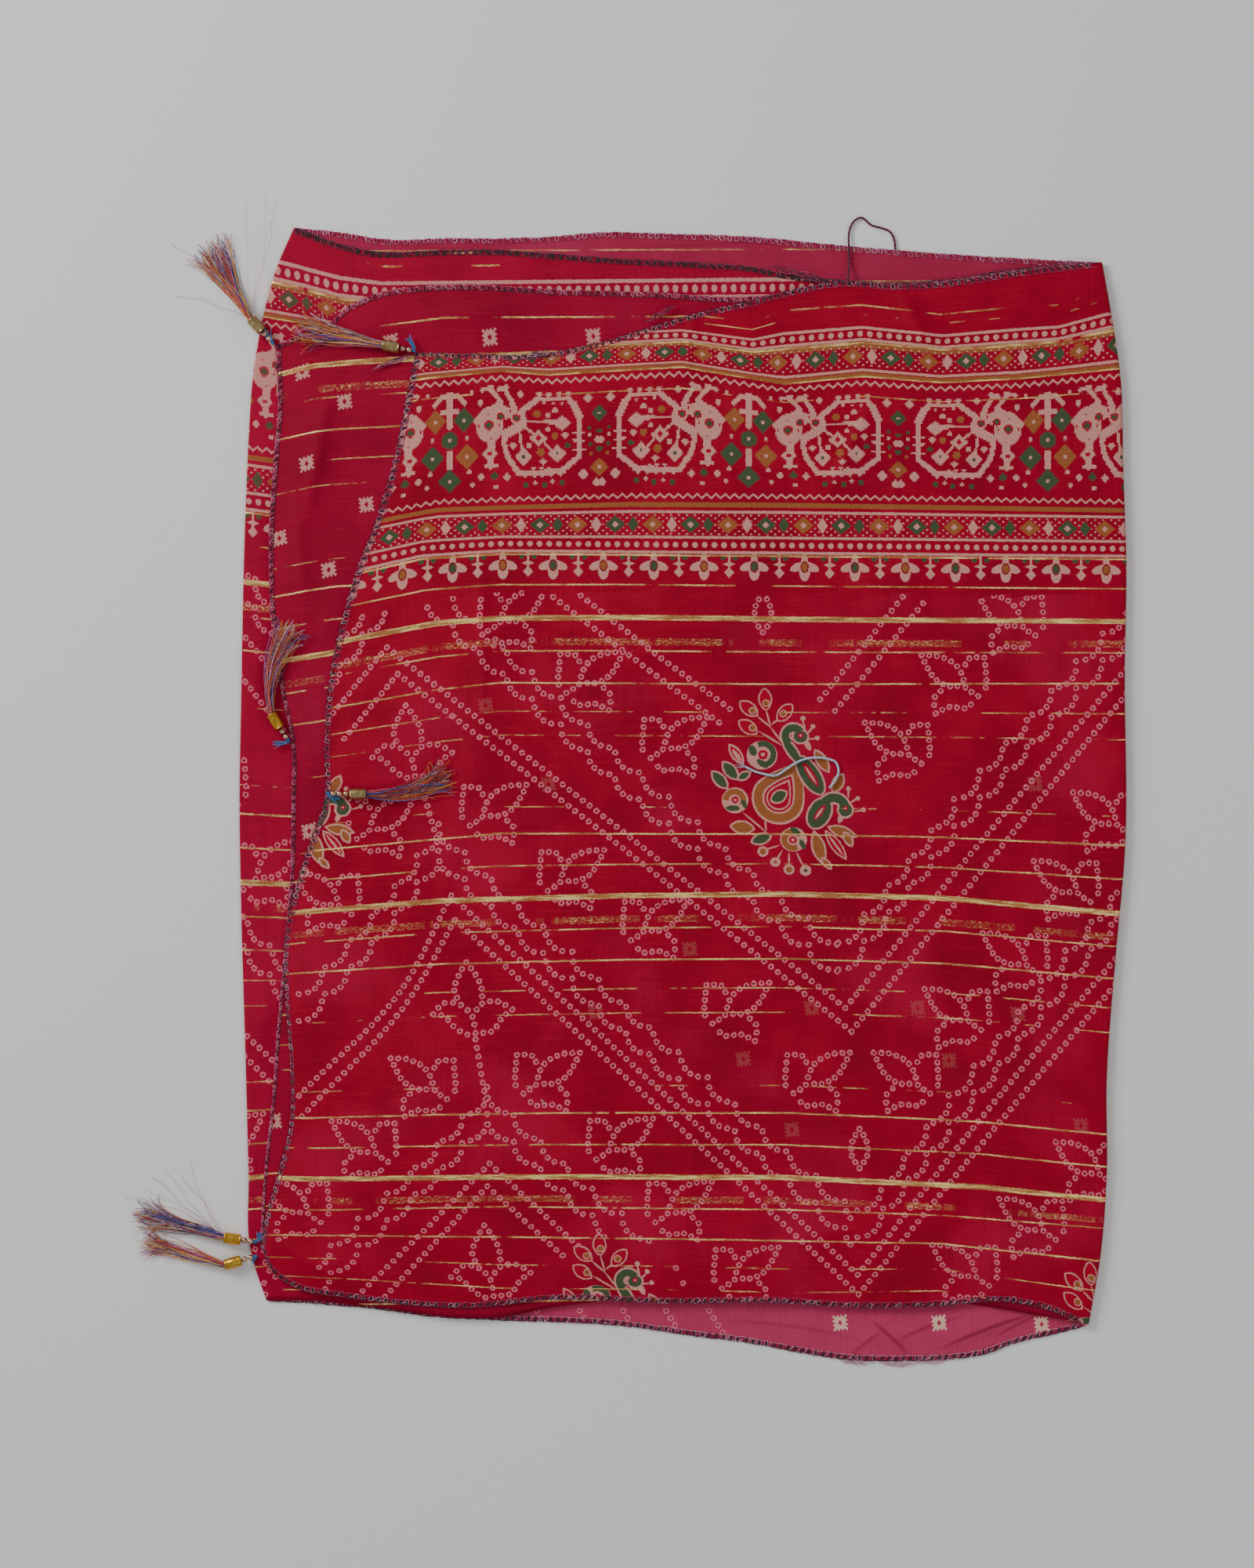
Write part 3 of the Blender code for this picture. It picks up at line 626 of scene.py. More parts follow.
@dataclass(frozen=True)
class Stretch:
    """One stretch of the cloth between its four edges."""

    name: str
    node: str
    level: int
    left: Route
    right: Route
    top: Route
    bottom: Route
    hems: tuple
    across: int
    up: int
    fold: int               # 1 where it runs on round the right-hand fold, -1 round the left
    lines: tuple            # the woven print's lines, as far as they are measured
    sprigs: tuple           # where small flowers show, in pixels
    flat: Pair              # width and height of its part of the cut cloth, in metres

    THICK = 0.5
    PITCH = 1.6             # height from one layer to the next
    TOP = 0.95              # height of the upper face over the layer's own lowest plane
    WIDTH = 560.0           # about the width and height of a stretch
    HEIGHT = 690.0
    FOLD_STEPS = 8
    FOLD_END = -76          # degrees: where the sheet ends round its fold
    FOLD_RADII = (0.0, 0.8, 0.8, 2.4)       # middle of the cloth round its own fold, by level
    LEFT_INSETS = (1.15, 1.05, 0.0, 0.0)
    RIGHT_EASES = (0.5, 0.0, 0.1, 0.0)      # how much less than the outer fold each stays inside
    DROOPS = (0.38, 0.85, 0.85, 0.85)       # how far each level sinks at its hems

    def fold_radius(self) -> float:
        """Radius of the middle of the cloth round its own fold."""
        return self.FOLD_RADII[self.level]

    def insets(self) -> Pair:
        """How far the flat part stays inside its left and right outline."""
        outer = self.FOLD_RADII[FRONT] + self.THICK / 2
        return self.LEFT_INSETS[self.level], outer - self.RIGHT_EASES[self.level]

    def plan(self, s: np.ndarray, t: np.ndarray) -> np.ndarray:
        """Where shares across and up the stretch lie in plan.

        Args:
            s: Shares from the left edge to the right edge.
            t: Shares from the bottom edge to the top edge, one for each s.

        Returns:
            Places in measured millimetres.
        """
        inset_left, inset_right = self.insets()
        slide = np.stack([(1 - s) * inset_left - s * inset_right, 0 * s], axis=1)
        left = self.left.at(t) + (inset_left, 0)
        right = self.right.at(t) - (inset_right, 0)
        top, bottom = self.top.at(s) + slide, self.bottom.at(s) + slide
        s1, t1 = s[:, None], t[:, None]
        ends = [self.left.at([0, 1]) + (inset_left, 0), self.right.at([0, 1]) - (inset_right, 0)]
        corners = (
            (1 - s1) * ((1 - t1) * ends[0][0] + t1 * ends[0][1])
            + s1 * ((1 - t1) * ends[1][0] + t1 * ends[1][1])
        )
        return (1 - s1) * left + s1 * right + (1 - t1) * bottom + t1 * top - corners

    def edge_distance(self, s: np.ndarray, t: np.ndarray) -> np.ndarray:
        """About how far inside the nearest hemmed edge some shares lie, in millimetres."""
        high = self.HEIGHT
        options = {"left": s * self.WIDTH, "bottom": t * high, "top": (1 - t) * high}
        return np.min([options[hem] for hem in self.hems], axis=0)

    def height(self, x: np.ndarray, y: np.ndarray, edge: np.ndarray) -> np.ndarray:
        """Height of the upper face of the cloth at some places.

        Args:
            x: Measured millimetres across.
            y: Measured millimetres up the picture.
            edge: Distance inside the nearest hem.

        Returns:
            Heights in millimetres.
        """
        lift = sum(c.lift(x, y) for c in CREASES if c.level <= self.level)
        lift = lift + 1.5 * sum(c.lift(x, y) for c in FINE_CREASES if c.level == self.level)
        ripple = (
            np.sin(x / 37 + 1.1 * self.level + np.sin(y / 51)) * np.sin(y / 43 - np.cos(x / 61))
            + 0.5 * np.sin(x / 13 + y / 29) * np.sin(y / 17 + 0.7 * self.level)
        )
        droop = self.DROOPS[self.level] * np.exp(-((edge / 14) ** 2))
        waver = 0.10 * np.sin(x / 4.1 + y / 3.3) * np.exp(-((edge / 5) ** 2))
        return self.level * self.PITCH + self.TOP - droop + waver + lift + 0.05 * ripple

    def cloth_height(self, x: np.ndarray, y: np.ndarray) -> np.ndarray:
        """How far up the woven print some places lie, by the lines that the picture shows."""
        values = np.array([v for v, _ in self.lines])
        traces = []
        for _, trace in self.lines:
            line = from_picture(trace)
            traces.append(np.interp(x, line[:, 0], line[:, 1]))
        rows = np.array(traces)
        k = np.clip((rows < y).sum(axis=0) - 1, 0, len(values) - 2)
        low = np.take_along_axis(rows, k[None], 0)[0]
        high = np.take_along_axis(rows, k[None] + 1, 0)[0]
        return values[k] + (y - low) / (high - low) * (values[k + 1] - values[k])


STRETCHES = (
    Stretch("cloth_back", "back_layer", BACK, LEFT_FOLD, RIGHT_FOLD, BACK_TOP, BACK_BOTTOM,
            ("top", "bottom"), 150, 170, 0, BACK_LINES, BACK_SPRIGS, (0.57, 0.70)),
    Stretch("cloth_under", "under_layer", UNDER, LEFT_FOLD, RIGHT_FOLD, UNDER_TOP, UNDER_BOTTOM,
            ("top", "bottom"), 150, 170, -1, UNDER_LINES, (), (0.58, 0.70)),
    Stretch("cloth_inner", "inner_layer", INNER, INNER_LEFT, RIGHT_FOLD, INNER_TOP, INNER_BOTTOM,
            ("top", "bottom", "left"), 150, 170, 1, INNER_LINES, INNER_SPRIGS, (0.55, 0.66)),
    Stretch("cloth_front", "front_layer", FRONT, FRONT_LEFT, RIGHT_FOLD, FRONT_TOP, FRONT_BOTTOM,
            ("top", "bottom", "left"), 196, 228, 1, FRONT_LINES, FRONT_GHOSTS, (0.53, 0.67)),
)

# One half of the stepped border figure, charted in pixels of the picture: how far right
# of the tree's middle and how far down. The other half is its mirror image.
FIGURE_LINES = (
    # x1, y1, x2, y2, half width
    (0, 498, 12, 502, 3.5), (12, 502, 19, 511, 3.2), (0, 500, 0, 540, 3.8), (0, 521, 9, 521, 3.8),
    (0, 573, 0, 592, 4), (41, 496, 54, 493, 3), (51, 494, 66, 514, 3.2), (62, 497, 73, 494, 3.2),
    (69, 495, 79, 512, 3.2), (79, 512, 83, 522, 4), (63, 516, 35, 534, 5), (53, 555, 52, 572, 5.5),
    (52, 585, 52, 592, 4), (45, 592, 60, 592, 2.6), (93, 540, 71, 553, 6), (70, 553, 69, 563, 4.3),
    (69, 562, 73, 580, 3.8), (73, 580, 86, 599, 3.8), (86, 601, 123, 602, 3.6),
    (123, 600, 145, 600, 3.6), (145, 598, 165, 582, 3.8), (165, 582, 165, 530, 4.2),
    (158, 551, 171, 551, 2), (158, 561, 171, 562, 2), (158, 573, 173, 573, 2),
    (165, 530, 158, 515, 5), (158, 515, 151, 506, 4), (151, 506, 113, 506, 3.4),
    (113, 506, 91, 524, 4), (95, 536, 128, 535, 2), (128, 536, 137, 536, 3.2),
    (91, 540, 107, 552, 2.2), (121, 563, 129, 572, 2), (88, 545, 92, 572, 2.3),
)


def rounds(*rows: tuple) -> tuple:
    """Ellipses of the figure: x, y, half width, and half height where it differs."""
    return tuple((x, y, wide, *(high or (wide,)), False) for x, y, wide, *high in rows)


def lozenges(*rows: tuple) -> tuple:
    """Lozenges of the figure: x, y, half width, and half height where it differs."""
    return tuple((x, y, wide, *(high or (wide,)), True) for x, y, wide, *high in rows)


FIGURE_FORMS = {
    "cream": rounds(
        (28, 498, 3), (22, 555, 3, 3.5), (25, 598, 3.2), (29, 615, 3.2), (59, 618, 3.5, 3),
        (39, 512, 4, 5), (51, 540, 18, 23), (68, 526, 16, 8.5), (88, 533, 10), (125, 527, 3.4),
        (125, 545, 3.4), (101, 567, 3.8), (109, 615, 2.8), (131, 613, 2.8), (96, 606, 2.6, 3),
        (107, 596, 2.6, 3), (108, 606, 2.6, 3), (117, 596, 2.6, 3), (118, 605, 2.6, 3),
        (126, 596, 2.6, 3), (129, 604, 2.6, 3), (141, 604, 2.6, 3), (114, 500, 3.8),
        (126, 500, 3.8), (139, 500, 3.8), (151, 500, 3.8), (120, 511, 2.4), (132, 512, 2.4),
        (143, 512, 2.4),
    ) + lozenges(
        (40, 605, 5.5, 6), (73, 606, 6, 5.5), (51, 577, 11, 10), (143, 538, 11), (113, 557, 12, 11),
        (137, 577, 12), (94, 581, 12), (134, 521, 5.5, 5), (147, 554, 5.5, 5), (81, 567, 5),
        (119, 587, 5), (178, 555, 3.5), (188, 561, 5.5, 5), (170, 605, 7.5), (187, 616, 7, 6),
        (176, 507, 7), (90, 502, 5.5),
    ),
    "ground": rounds(
        (65, 531, 5.5), (85, 532, 5.5), (50, 541, 6.5), (49, 527, 2.2), (37, 541, 2.2),
        (63, 542, 2.2), (77, 524, 2.2), (53, 558, 2.2), (51, 577, 3.2),
    ) + lozenges((113, 557, 4.5)),
    "green": rounds(
        (65, 531, 3.2), (85, 532, 3.2), (50, 541, 4.2), (150, 567, 4), (97, 617, 4), (121, 617, 4),
        (143, 615, 4), (178, 545, 3), (190, 550, 3.6), (179, 567, 3), (190, 573, 4), (137, 577, 2),
        (94, 581, 2.2),
    ) + lozenges((57, 605, 6)) + rounds((0, 557, 11))
    + lozenges((0, 609, 15.5), (190, 527, 11, 12)),
    "ochre": rounds(
        (111, 526, 5.2), (134, 554, 5.2), (116, 575, 5.5), (180, 579, 3),
    ) + lozenges((190, 597, 12)),
    "green right, ochre left": lozenges((18, 532, 14, 16.5)),
    "ochre right, green left": lozenges((22, 579, 15, 16.5)),
    "cores": rounds(
        (18, 532, 2.4), (0, 557, 2.4), (22, 579, 2.4), (0, 609, 3), (190, 527, 2.4),
        (190, 597, 2.4),
    ),
}
FIGURE_CELL = 1.04              # millimetres of one step of the printed figure
FIGURE_PERIOD = 198.0           # millimetres from one tree to the next
FIGURE_SQUAT = 0.907            # the cloth's height for one of the picture's, in the border
FIGURE_FOOT = (450.3, 634)      # cloth height and pixel row of the figure's lowest line


class Shape(Enum):
    """The forms that a printed spray is drawn with."""

    ROUND = "circle or ellipse"
    LEAF = "pointed leaf"
    BOW = "half ring"
    DROP = "teardrop"


class Ink(Enum):
    """The printed colours."""

    CREAM = "cream"
    GREEN = "green"
    OCHRE = "ochre"
    RED = "ground red"


CREAM, GREEN, OCHRE, RED = Ink

@dataclass(frozen=True)
class Mark:
    """One form of the spray: place, half sizes in millimetres, turn in degrees, fill and rim."""

    shape: Shape
    x: float
    y: float
    long: float
    wide: float
    turn: float
    ink: Ink
    rim: float = 1.2


def disc(x: float, y: float, long: float, wide: float, turn: float, ink: Ink) -> Mark:
    """A plain circle or ellipse."""
    return Mark(Shape.ROUND, x, y, long, wide, turn, ink, 0)


def bow(x: float, y: float, radius: float, half: float, turn: float, ink: Ink) -> Mark:
    """A plain half ring."""
    return Mark(Shape.BOW, x, y, radius, half, turn, ink, 0)


def leaf(
    x: float, y: float, long: float, wide: float, turn: float, ink: Ink, rim: float = 1.2
) -> Mark:
    """A pointed leaf with a cream rim."""
    return Mark(Shape.LEAF, x, y, long, wide, turn, ink, rim)


def drop(long: float, wide: float, ink: Ink, rim: float = 0) -> Mark:
    """One of the drops that make up the paisley."""
    return Mark(Shape.DROP, -3.6, -9.4, long, wide, 60, ink, rim)


def stem(x: float, y: float, long: float, turn: float) -> Mark:
    """A thin cream stem."""
    return leaf(x, y, long, 0.6, turn, CREAM, 0)


def berry(x: float, y: float, radius: float, core: float, ink: Ink) -> tuple[Mark, Mark]:
    """A cream ball with a coloured middle."""
    return disc(x, y, radius, radius, 0, CREAM), disc(x, y, core, core, 0, ink)


def eye(x: float, y: float, radius: float) -> tuple[Mark, Mark]:
    """A bird's eye or a flower's middle: red with a pale core."""
    core = radius * 0.42
    return disc(x, y, radius, radius, 0, RED), disc(x, y, core, core, 0, CREAM)


def bud(x: float, y: float, turn: float, dot: Pair) -> tuple[Mark, Mark]:
    """A red bud with a cream rim and an ochre dot."""
    return (
        leaf(x, y, 7.8, 4.6, turn, RED, 0.9),
        Mark(Shape.ROUND, *dot, 2.5, 2.5, 0, OCHRE, 0.7),
    )


SPRAY = (
    # stems
    stem(-10.4, 43.7, 6.5, -75), stem(-13.3, 41.6, 6.5, -40), stem(-8.5, 30.2, 10.5, -31),
    stem(-4.5, 32, 8, -53), stem(-5.7, 41.9, 4, 40), stem(-19.2, -26, 11, -40),
    stem(-12.3, -27, 6, -85), stem(13.2, 39.7, 4.4, 103), stem(17.2, 35.9, 3.2, 50),
    stem(18.7, 30.2, 3.6, 8), stem(42.6, -5.7, 3.4, 90), stem(46.3, -10.4, 3.4, 35),
    stem(49.4, -17.2, 3.4, 8), stem(-8.3, -43.2, 6, 20), stem(-3.1, -48.4, 4.4, 60),
    stem(3.3, -51, 5.4, 90), stem(10.4, -51, 6, -65),
    # buds
    *bud(-12.5, 56.7, 95, (-11.9, 54)), *bud(-23.4, 50.4, -38, (-21, 48.9)),
    *bud(-23.9, 38, -35, (-20.8, 37.6)), *bud(0.5, 47.8, 50, (-0.5, 47.1)),
    # berries
    *berry(12.5, 43.9, 1.7, 0.4, CREAM), *berry(19.1, 38.5, 1.6, 0.4, CREAM),
    *berry(22, 30.9, 1.6, 0.4, CREAM), *berry(42.6, -2.6, 1.5, 0.4, CREAM),
    *berry(48.9, -8.8, 1.5, 0.4, CREAM), *berry(52.5, -16.3, 1.6, 0.4, CREAM),
    *berry(-14, -45.8, 3.6, 2.1, OCHRE), *berry(-5.7, -53.2, 3.4, 1.2, OCHRE),
    *berry(3.3, -58.4, 3.6, 2.1, OCHRE), *berry(14.2, -58.8, 3.8, 1.2, GREEN),
    # leaves at the left
    leaf(-42.6, 2.6, 8.4, 4.2, -48, GREEN), leaf(-35.6, 8.8, 8.4, 4.4, -50, GREEN),
    leaf(-31.7, 19.8, 8.6, 3.7, -55, RED), leaf(-31.2, 18.8, 5.4, 1.5, -55, CREAM, 0),
    leaf(-26.6, 5.4, 5.6, 3.1, 30, GREEN), leaf(-27.6, -29.1, 8.6, 4.7, -8, OCHRE),
    leaf(-15.1, -36.9, 7.6, 4.3, 18, GREEN),
    # three round flowers
    disc(-14.6, 19.2, 10.2, 9.6, 0, CREAM), disc(-20.8, 22.2, 3.7, 2.5, -70, GREEN),
    bow(-14, 19.8, 7.0, 1.9, 15, GREEN), disc(-14.4, 13.6, 4.4, 2.0, -35, GREEN),
    *eye(-14, 19.6, 3.2), disc(-32.4, -11, 8.8, 8.6, 0, CREAM),
    bow(-32.8, -11, 5.8, 1.9, 75, OCHRE), disc(-33.8, -16.3, 4.6, 1.9, 0, GREEN),
    disc(-26.4, -13.5, 3.2, 1.5, -65, GREEN), *eye(-32.4, -10.8, 2.4),
    disc(6.2, -37.2, 8.9, 8.4, 0, CREAM), bow(6.0, -37.4, 5.8, 1.9, 195, OCHRE),
    disc(7.6, -31.6, 4.2, 2.0, -40, GREEN), disc(12.2, -40.6, 3.6, 1.7, -65, GREEN),
    *eye(5.9, -37.4, 2.6),
    # leaves at the right
    leaf(25.0, 15.6, 9.4, 4.0, -58, OCHRE), leaf(35.6, 1.0, 7.6, 4.2, 62, OCHRE),
    leaf(38.5, -31.2, 10.6, 4.0, -18, OCHRE), leaf(42.4, -36.2, 6.0, 3.2, -62, OCHRE),
    leaf(34.3, -40.6, 12.6, 3.8, -55, RED, 1.0), leaf(34.3, -40.6, 9.6, 0.8, -55, CREAM, 0),
    leaf(22.9, -42.6, 12.6, 4.8, -75, OCHRE), leaf(28.0, -53.5, 5.6, 2.6, -50, OCHRE),
    # the paisley
    drop(27.0, 17.6, OCHRE, 1.5), drop(18.6, 10.6, CREAM), drop(16.6, 9.3, RED),
    drop(14.2, 8.0, CREAM), drop(12.4, 7.0, RED), leaf(-3.4, -8.4, 6.6, 4.4, 32, GREEN, 1.1),
    # the upper bird
    bow(6.2, 32.2, 5.4, 3.8, 135, CREAM), disc(10.9, 31.8, 5.8, 5.2, 0, CREAM),
    leaf(15.6, 26.2, 4.2, 1.9, -62, CREAM, 0), disc(5.2, 22.2, 10.2, 4.0, -56, CREAM),
    disc(17.4, 6.0, 15.2, 7.2, -57, CREAM), bow(6.2, 32.2, 5.4, 2.5, 135, GREEN),
    disc(10.9, 31.8, 4.5, 3.9, 0, GREEN), disc(5.2, 22.2, 9.6, 2.7, -56, GREEN),
    disc(17.4, 6.0, 14.0, 5.9, -57, GREEN), disc(17.7, 6.6, 9.2, 2.3, -57, RED),
    disc(17.7, 6.2, 6.6, 0.9, -57, CREAM), *eye(11.0, 32.5, 1.9),
    # the lower bird
    disc(23.4, -19.2, 11.6, 8.1, 62, CREAM), bow(33.0, -16.4, 7.6, 4.2, 95, CREAM),
    disc(40.6, -16.6, 5.6, 5.7, 0, CREAM), leaf(37.4, -22.4, 3.4, 1.8, -110, CREAM, 0),
    disc(23.4, -19.2, 10.4, 6.8, 62, GREEN), bow(33.0, -16.4, 7.6, 2.9, 95, GREEN),
    disc(40.6, -16.6, 4.3, 4.4, 0, GREEN), disc(23.6, -18.6, 6.2, 2.0, 55, RED),
    disc(23.4, -19.0, 4.4, 0.9, 55, CREAM), *eye(40.6, -15.6, 1.7),
)


@dataclass(frozen=True)
class ClothFinish:
    """The dye, inks and sheen of one face of the cloth."""

    name: str
    ground: Tint
    shade: Tint
    cream: Tint
    green: Tint
    ochre: Tint
    strength: float = 1.0       # how strongly the print shows
    metal: float = 1.0          # how much of the metallic lines shows
    tree: float = 80.6          # where a stepped tree stands across the cloth
    ghost: float = 0.0          # strength of the small flowers shining through
    ring: Tint = linear(234, 112, 136)
    low: Tint | None = None     # the colour of the painted light that shows through the single layer at the bottom, where nothing lies behind
    blush: Tint = linear(182, 20, 66)
    fold_shade: float = 0.0     # how much painted shade darkens the sharp creases of the wrong side


RIGHT_SIDE = dict(
    cream=linear(212, 148, 138), green=linear(60, 84, 56), ochre=linear(156, 92, 50),
)
FINISHES = {
    "cloth_front": ClothFinish(
        "front_print", linear(162, 0, 38), linear(132, 0, 28), **RIGHT_SIDE,
        ghost=0.12,
    ),
    "cloth_inner": ClothFinish(
        "inner_print", linear(154, 2, 44), linear(130, 0, 35), **RIGHT_SIDE,
        blush=linear(166, 14, 60),
    ),
    "cloth_under": ClothFinish(
        "under_print", linear(160, 2, 47), linear(140, 0, 38), **RIGHT_SIDE,
        tree=-68.6, strength=0.9,
    ),
    "cloth_back": ClothFinish(
        "back_print", linear(160, 34, 68), linear(146, 26, 58),
        cream=linear(240, 202, 176), green=linear(110, 90, 84), ochre=linear(176, 96, 72),
        strength=0.95, metal=0.55, low=linear(214, 78, 122),
        blush=linear(178, 52, 92), fold_shade=0.75,
    ),
}
# Colours of the metallic threads: bright gold, which carries their painted highlights, then their
# own dark bronze.
GOLD = (linear(255, 224, 146), linear(150, 62, 28))


class PrintedCloth:
    """Dresses one face of the cloth with its woven ground, print and metallic lines."""

    THREAD = 0.55               # millimetres between threads that can be seen
    REPEAT = 184.6              # millimetres between two broad metallic lines
    BROAD_LINE = (369.2, 790)   # cloth height and pixel row of the one below the border

    def __init__(self, finish: ClothFinish, design: Print) -> None:
        """Starts the material and its coordinates.

        Args:
            finish: The face's colours.
            design: Which printed design this part carries.
        """
        self.finish = finish
        self.design = design
        self.recipe = Recipe(f"{finish.name}_{design.name.lower()}")
        recipe = self.recipe
        place = recipe.attribute("print_place")
        shake = recipe.node(
            "ShaderNodeTexNoise", {}, {"Vector": place, "Scale": 0.55, "Detail": 1.0}
        ).outputs["Color"]
        drift = recipe.vector("SUBTRACT", shake, (0.5, 0.5, 0.5))
        drift = recipe.vector("MULTIPLY", drift, (0.9, 0.9, 0.0))
        self.place = recipe.vector("ADD", recipe.vector("MULTIPLY", place, (1, 1, 0)), drift)
        self.u, self.v, self.inside = recipe.split(recipe.vector("ADD", place, drift))
        self.cream = self.thready(finish.cream)
        self.green = self.thready(finish.green)
        self.ochre = self.thready(finish.ochre)
        self.ring = self.thready(finish.ring)
        self.pleat = self.pleats() if finish.fold_shade else None

    def streaks(self, across: float, upward: float, detail: float, rough: float = 0.5) -> Signal:
        """Noise drawn out along the threads.

        Args:
            across: How fast it changes across the cloth, for each millimetre.
            upward: How fast it changes up the cloth.
            detail: How many finer layers it has.
            rough: How strong those are.

        Returns:
            Numbers from 0 to 1.
        """
        drawn = self.recipe.vector("MULTIPLY", self.place, (across, upward, 1))
        return self.recipe.noise(drawn, 1.0, detail, rough)

    def thready(self, tint: Tint) -> bpy.types.NodeSocket:
        """An ink that the threads break up a little."""
        streak = self.streaks(1.9, 0.5, 1.0)
        dark = tuple(0.66 * a + 0.06 * b for a, b in zip(tint, self.finish.ground))
        return self.recipe.mix(streak.above(0.5, 0.5), dark, tint)

    def ground(self) -> bpy.types.NodeSocket:
        """The dyed ground with cloudy dye and fine thread streaks, with painted shade along the
        wrong side's sharp creases and painted light showing through its single layer at the bottom.
        """
        recipe, finish = self.recipe, self.finish
        cloud = recipe.noise(self.place, 0.018, 3.0, 0.6)
        colour = recipe.mix(cloud.above(0.5, 0.42), finish.shade, finish.ground)
        # Painted light: the bottom of the wrong side, a single layer with the pale floor behind it,
        # is painted lighter.
        if finish.low:
            backlight_share = recipe.noise(self.place, 0.05, 2.0) * 0.5 + 0.55
            colour = recipe.mix(self.v.below(-100.0, 300.0) * backlight_share, colour, finish.low)
        along, upward = self.streaks(0.03, 0.8, 2.0), self.streaks(0.8, 0.03, 2.0)
        lighter = tuple(min(1.0, 1.22 * c + 0.006) for c in finish.ground)
        darker = tuple(0.74 * c for c in finish.shade)
        if self.design is not Print.BORDER:
            blush = recipe.noise(self.place, 0.012, 2.0)
            colour = recipe.mix(blush.above(0.6, 0.2) * 0.4, colour, finish.blush)
        colour = recipe.mix(along.above(0.62, 0.22) * 0.3, colour, lighter)
        colour = recipe.mix(upward.above(0.6, 0.25) * 0.22, colour, darker)
        # Painted shade: the wrong side's sharp creases are darkened in colour.
        if self.pleat:
            colour = recipe.mix(self.pleat * finish.fold_shade, colour, darker)
        colour = recipe.mix(self.inside.below(3.0, 3.0) * 0.35, colour, darker)
        return colour

    def paint(self, mask: Signal, ink: object) -> None:
        """Lays an ink over the colour so far."""
        share = mask if self.finish.strength == 1.0 else mask * self.finish.strength
        self.colour = self.recipe.mix(share, self.colour, ink)

    def dots(self) -> None:
        """Tied dots: a pale ring round a dark speck, from the nearest centres of each face."""
        recipe = self.recipe
        nearest: Signal | None = None
        for name in DOT_ATTRIBUTES:
            gap = recipe.length(recipe.vector("SUBTRACT", self.place, recipe.attribute(name)))
            nearest = gap if nearest is None else nearest.least(gap)
        nearest = nearest + (recipe.noise(self.place, 0.8, 0.0) - 0.5) * 1.1
        worn = recipe.noise(self.place, 0.12, 1.0)
        ring = nearest.near(1.36, 0.58, 0.3) * worn.above(0.18, 0.25)
        self.paint(ring * 0.9, self.ring)
        self.paint(nearest.below(0.62, 0.3) * 0.8, tuple(0.3 * c for c in self.finish.shade))

    def sprigs(self, strength: float) -> None:
        """Small eight-lobed flowers with a red middle."""
        recipe = self.recipe
        local = recipe.vector("SUBTRACT", self.place, recipe.attribute("sprig_at"))
        x, y, _ = recipe.split(local)
        side, rise = abs(x + y * 0.12), abs(y - x * 0.1)
        notch = recipe.math("COSINE", side.least(rise) * 2.4)
        petal = (side.most(rise) + notch * 0.7).below(4.3, 0.3)
        heart = (side / 1.5 + rise / 2.0).below(1.0, 0.2)
        self.paint(petal * (1.0 - heart) * strength, self.cream)

    def spray(self) -> None:
        """The bird and flower spray, form by form."""
        recipe = self.recipe
        inks = {
            CREAM: self.cream, GREEN: self.green, OCHRE: self.ochre, RED: self.finish.ground,
        }
        local = recipe.vector("SUBTRACT", self.place, recipe.attribute("spray_at"))
        for mark in SPRAY:
            gap = self.mark_gap(local, mark)
            if mark.rim:
                self.paint(gap.below(0, 0.3), self.cream)
            self.paint(gap.below(-mark.rim, 0.3), inks[mark.ink])

    def mark_gap(self, local: bpy.types.NodeSocket, mark: Mark) -> Signal:
        """Distance outside one form of the spray.

        Args:
            local: Place within the spray.
            mark: The form.

        Returns:
            Millimetres outside the form, less than 0 inside it.
        """
        recipe = self.recipe
        turn = math.radians(mark.turn)
        ahead = np.array((math.cos(turn), math.sin(turn)))
        axes = (ahead, np.array((-ahead[1], ahead[0])))
        sizes = (mark.long, mark.wide) if mark.shape is Shape.ROUND else (1.0, 1.0)
        x, y = (
            recipe.dot(local, (*(axis / size), 0)) - float(axis @ (mark.x, mark.y)) / size
            for axis, size in zip(axes, sizes)
        )
        if mark.shape is Shape.ROUND:
            return (recipe.length(recipe.join(x, y)) - 1.0) * mark.wide
        if mark.shape is Shape.LEAF:
            radius = (mark.long ** 2 + mark.wide ** 2) / (2 * mark.wide)
            return recipe.length(recipe.join(x, abs(y) + (radius - mark.wide))) - radius
        if mark.shape is Shape.BOW:
            ring = abs(recipe.length(recipe.join(x, y)) - mark.long) - mark.wide
            return ring.most(x * -1.0 - 1.5)
        share = recipe.math("MULTIPLY", x, 1 / mark.long, clamp=True)
        narrow = 1.02 - share ** 1.5
        drop = recipe.length(recipe.join(y / narrow, x.least(0.0))) - mark.wide
        return drop.most(x - mark.long)

    def level(self, pixel: float) -> float:
        """Cloth height of a line of the border, from the picture's pixel row."""
        return self.BROAD_LINE[0] + (self.BROAD_LINE[1] - pixel) * PIXEL

    def stripe(self, pixel: float, half: float, ink: object) -> None:
        """A printed line along the border."""
        self.paint(self.v.near(self.level(pixel), half), ink)

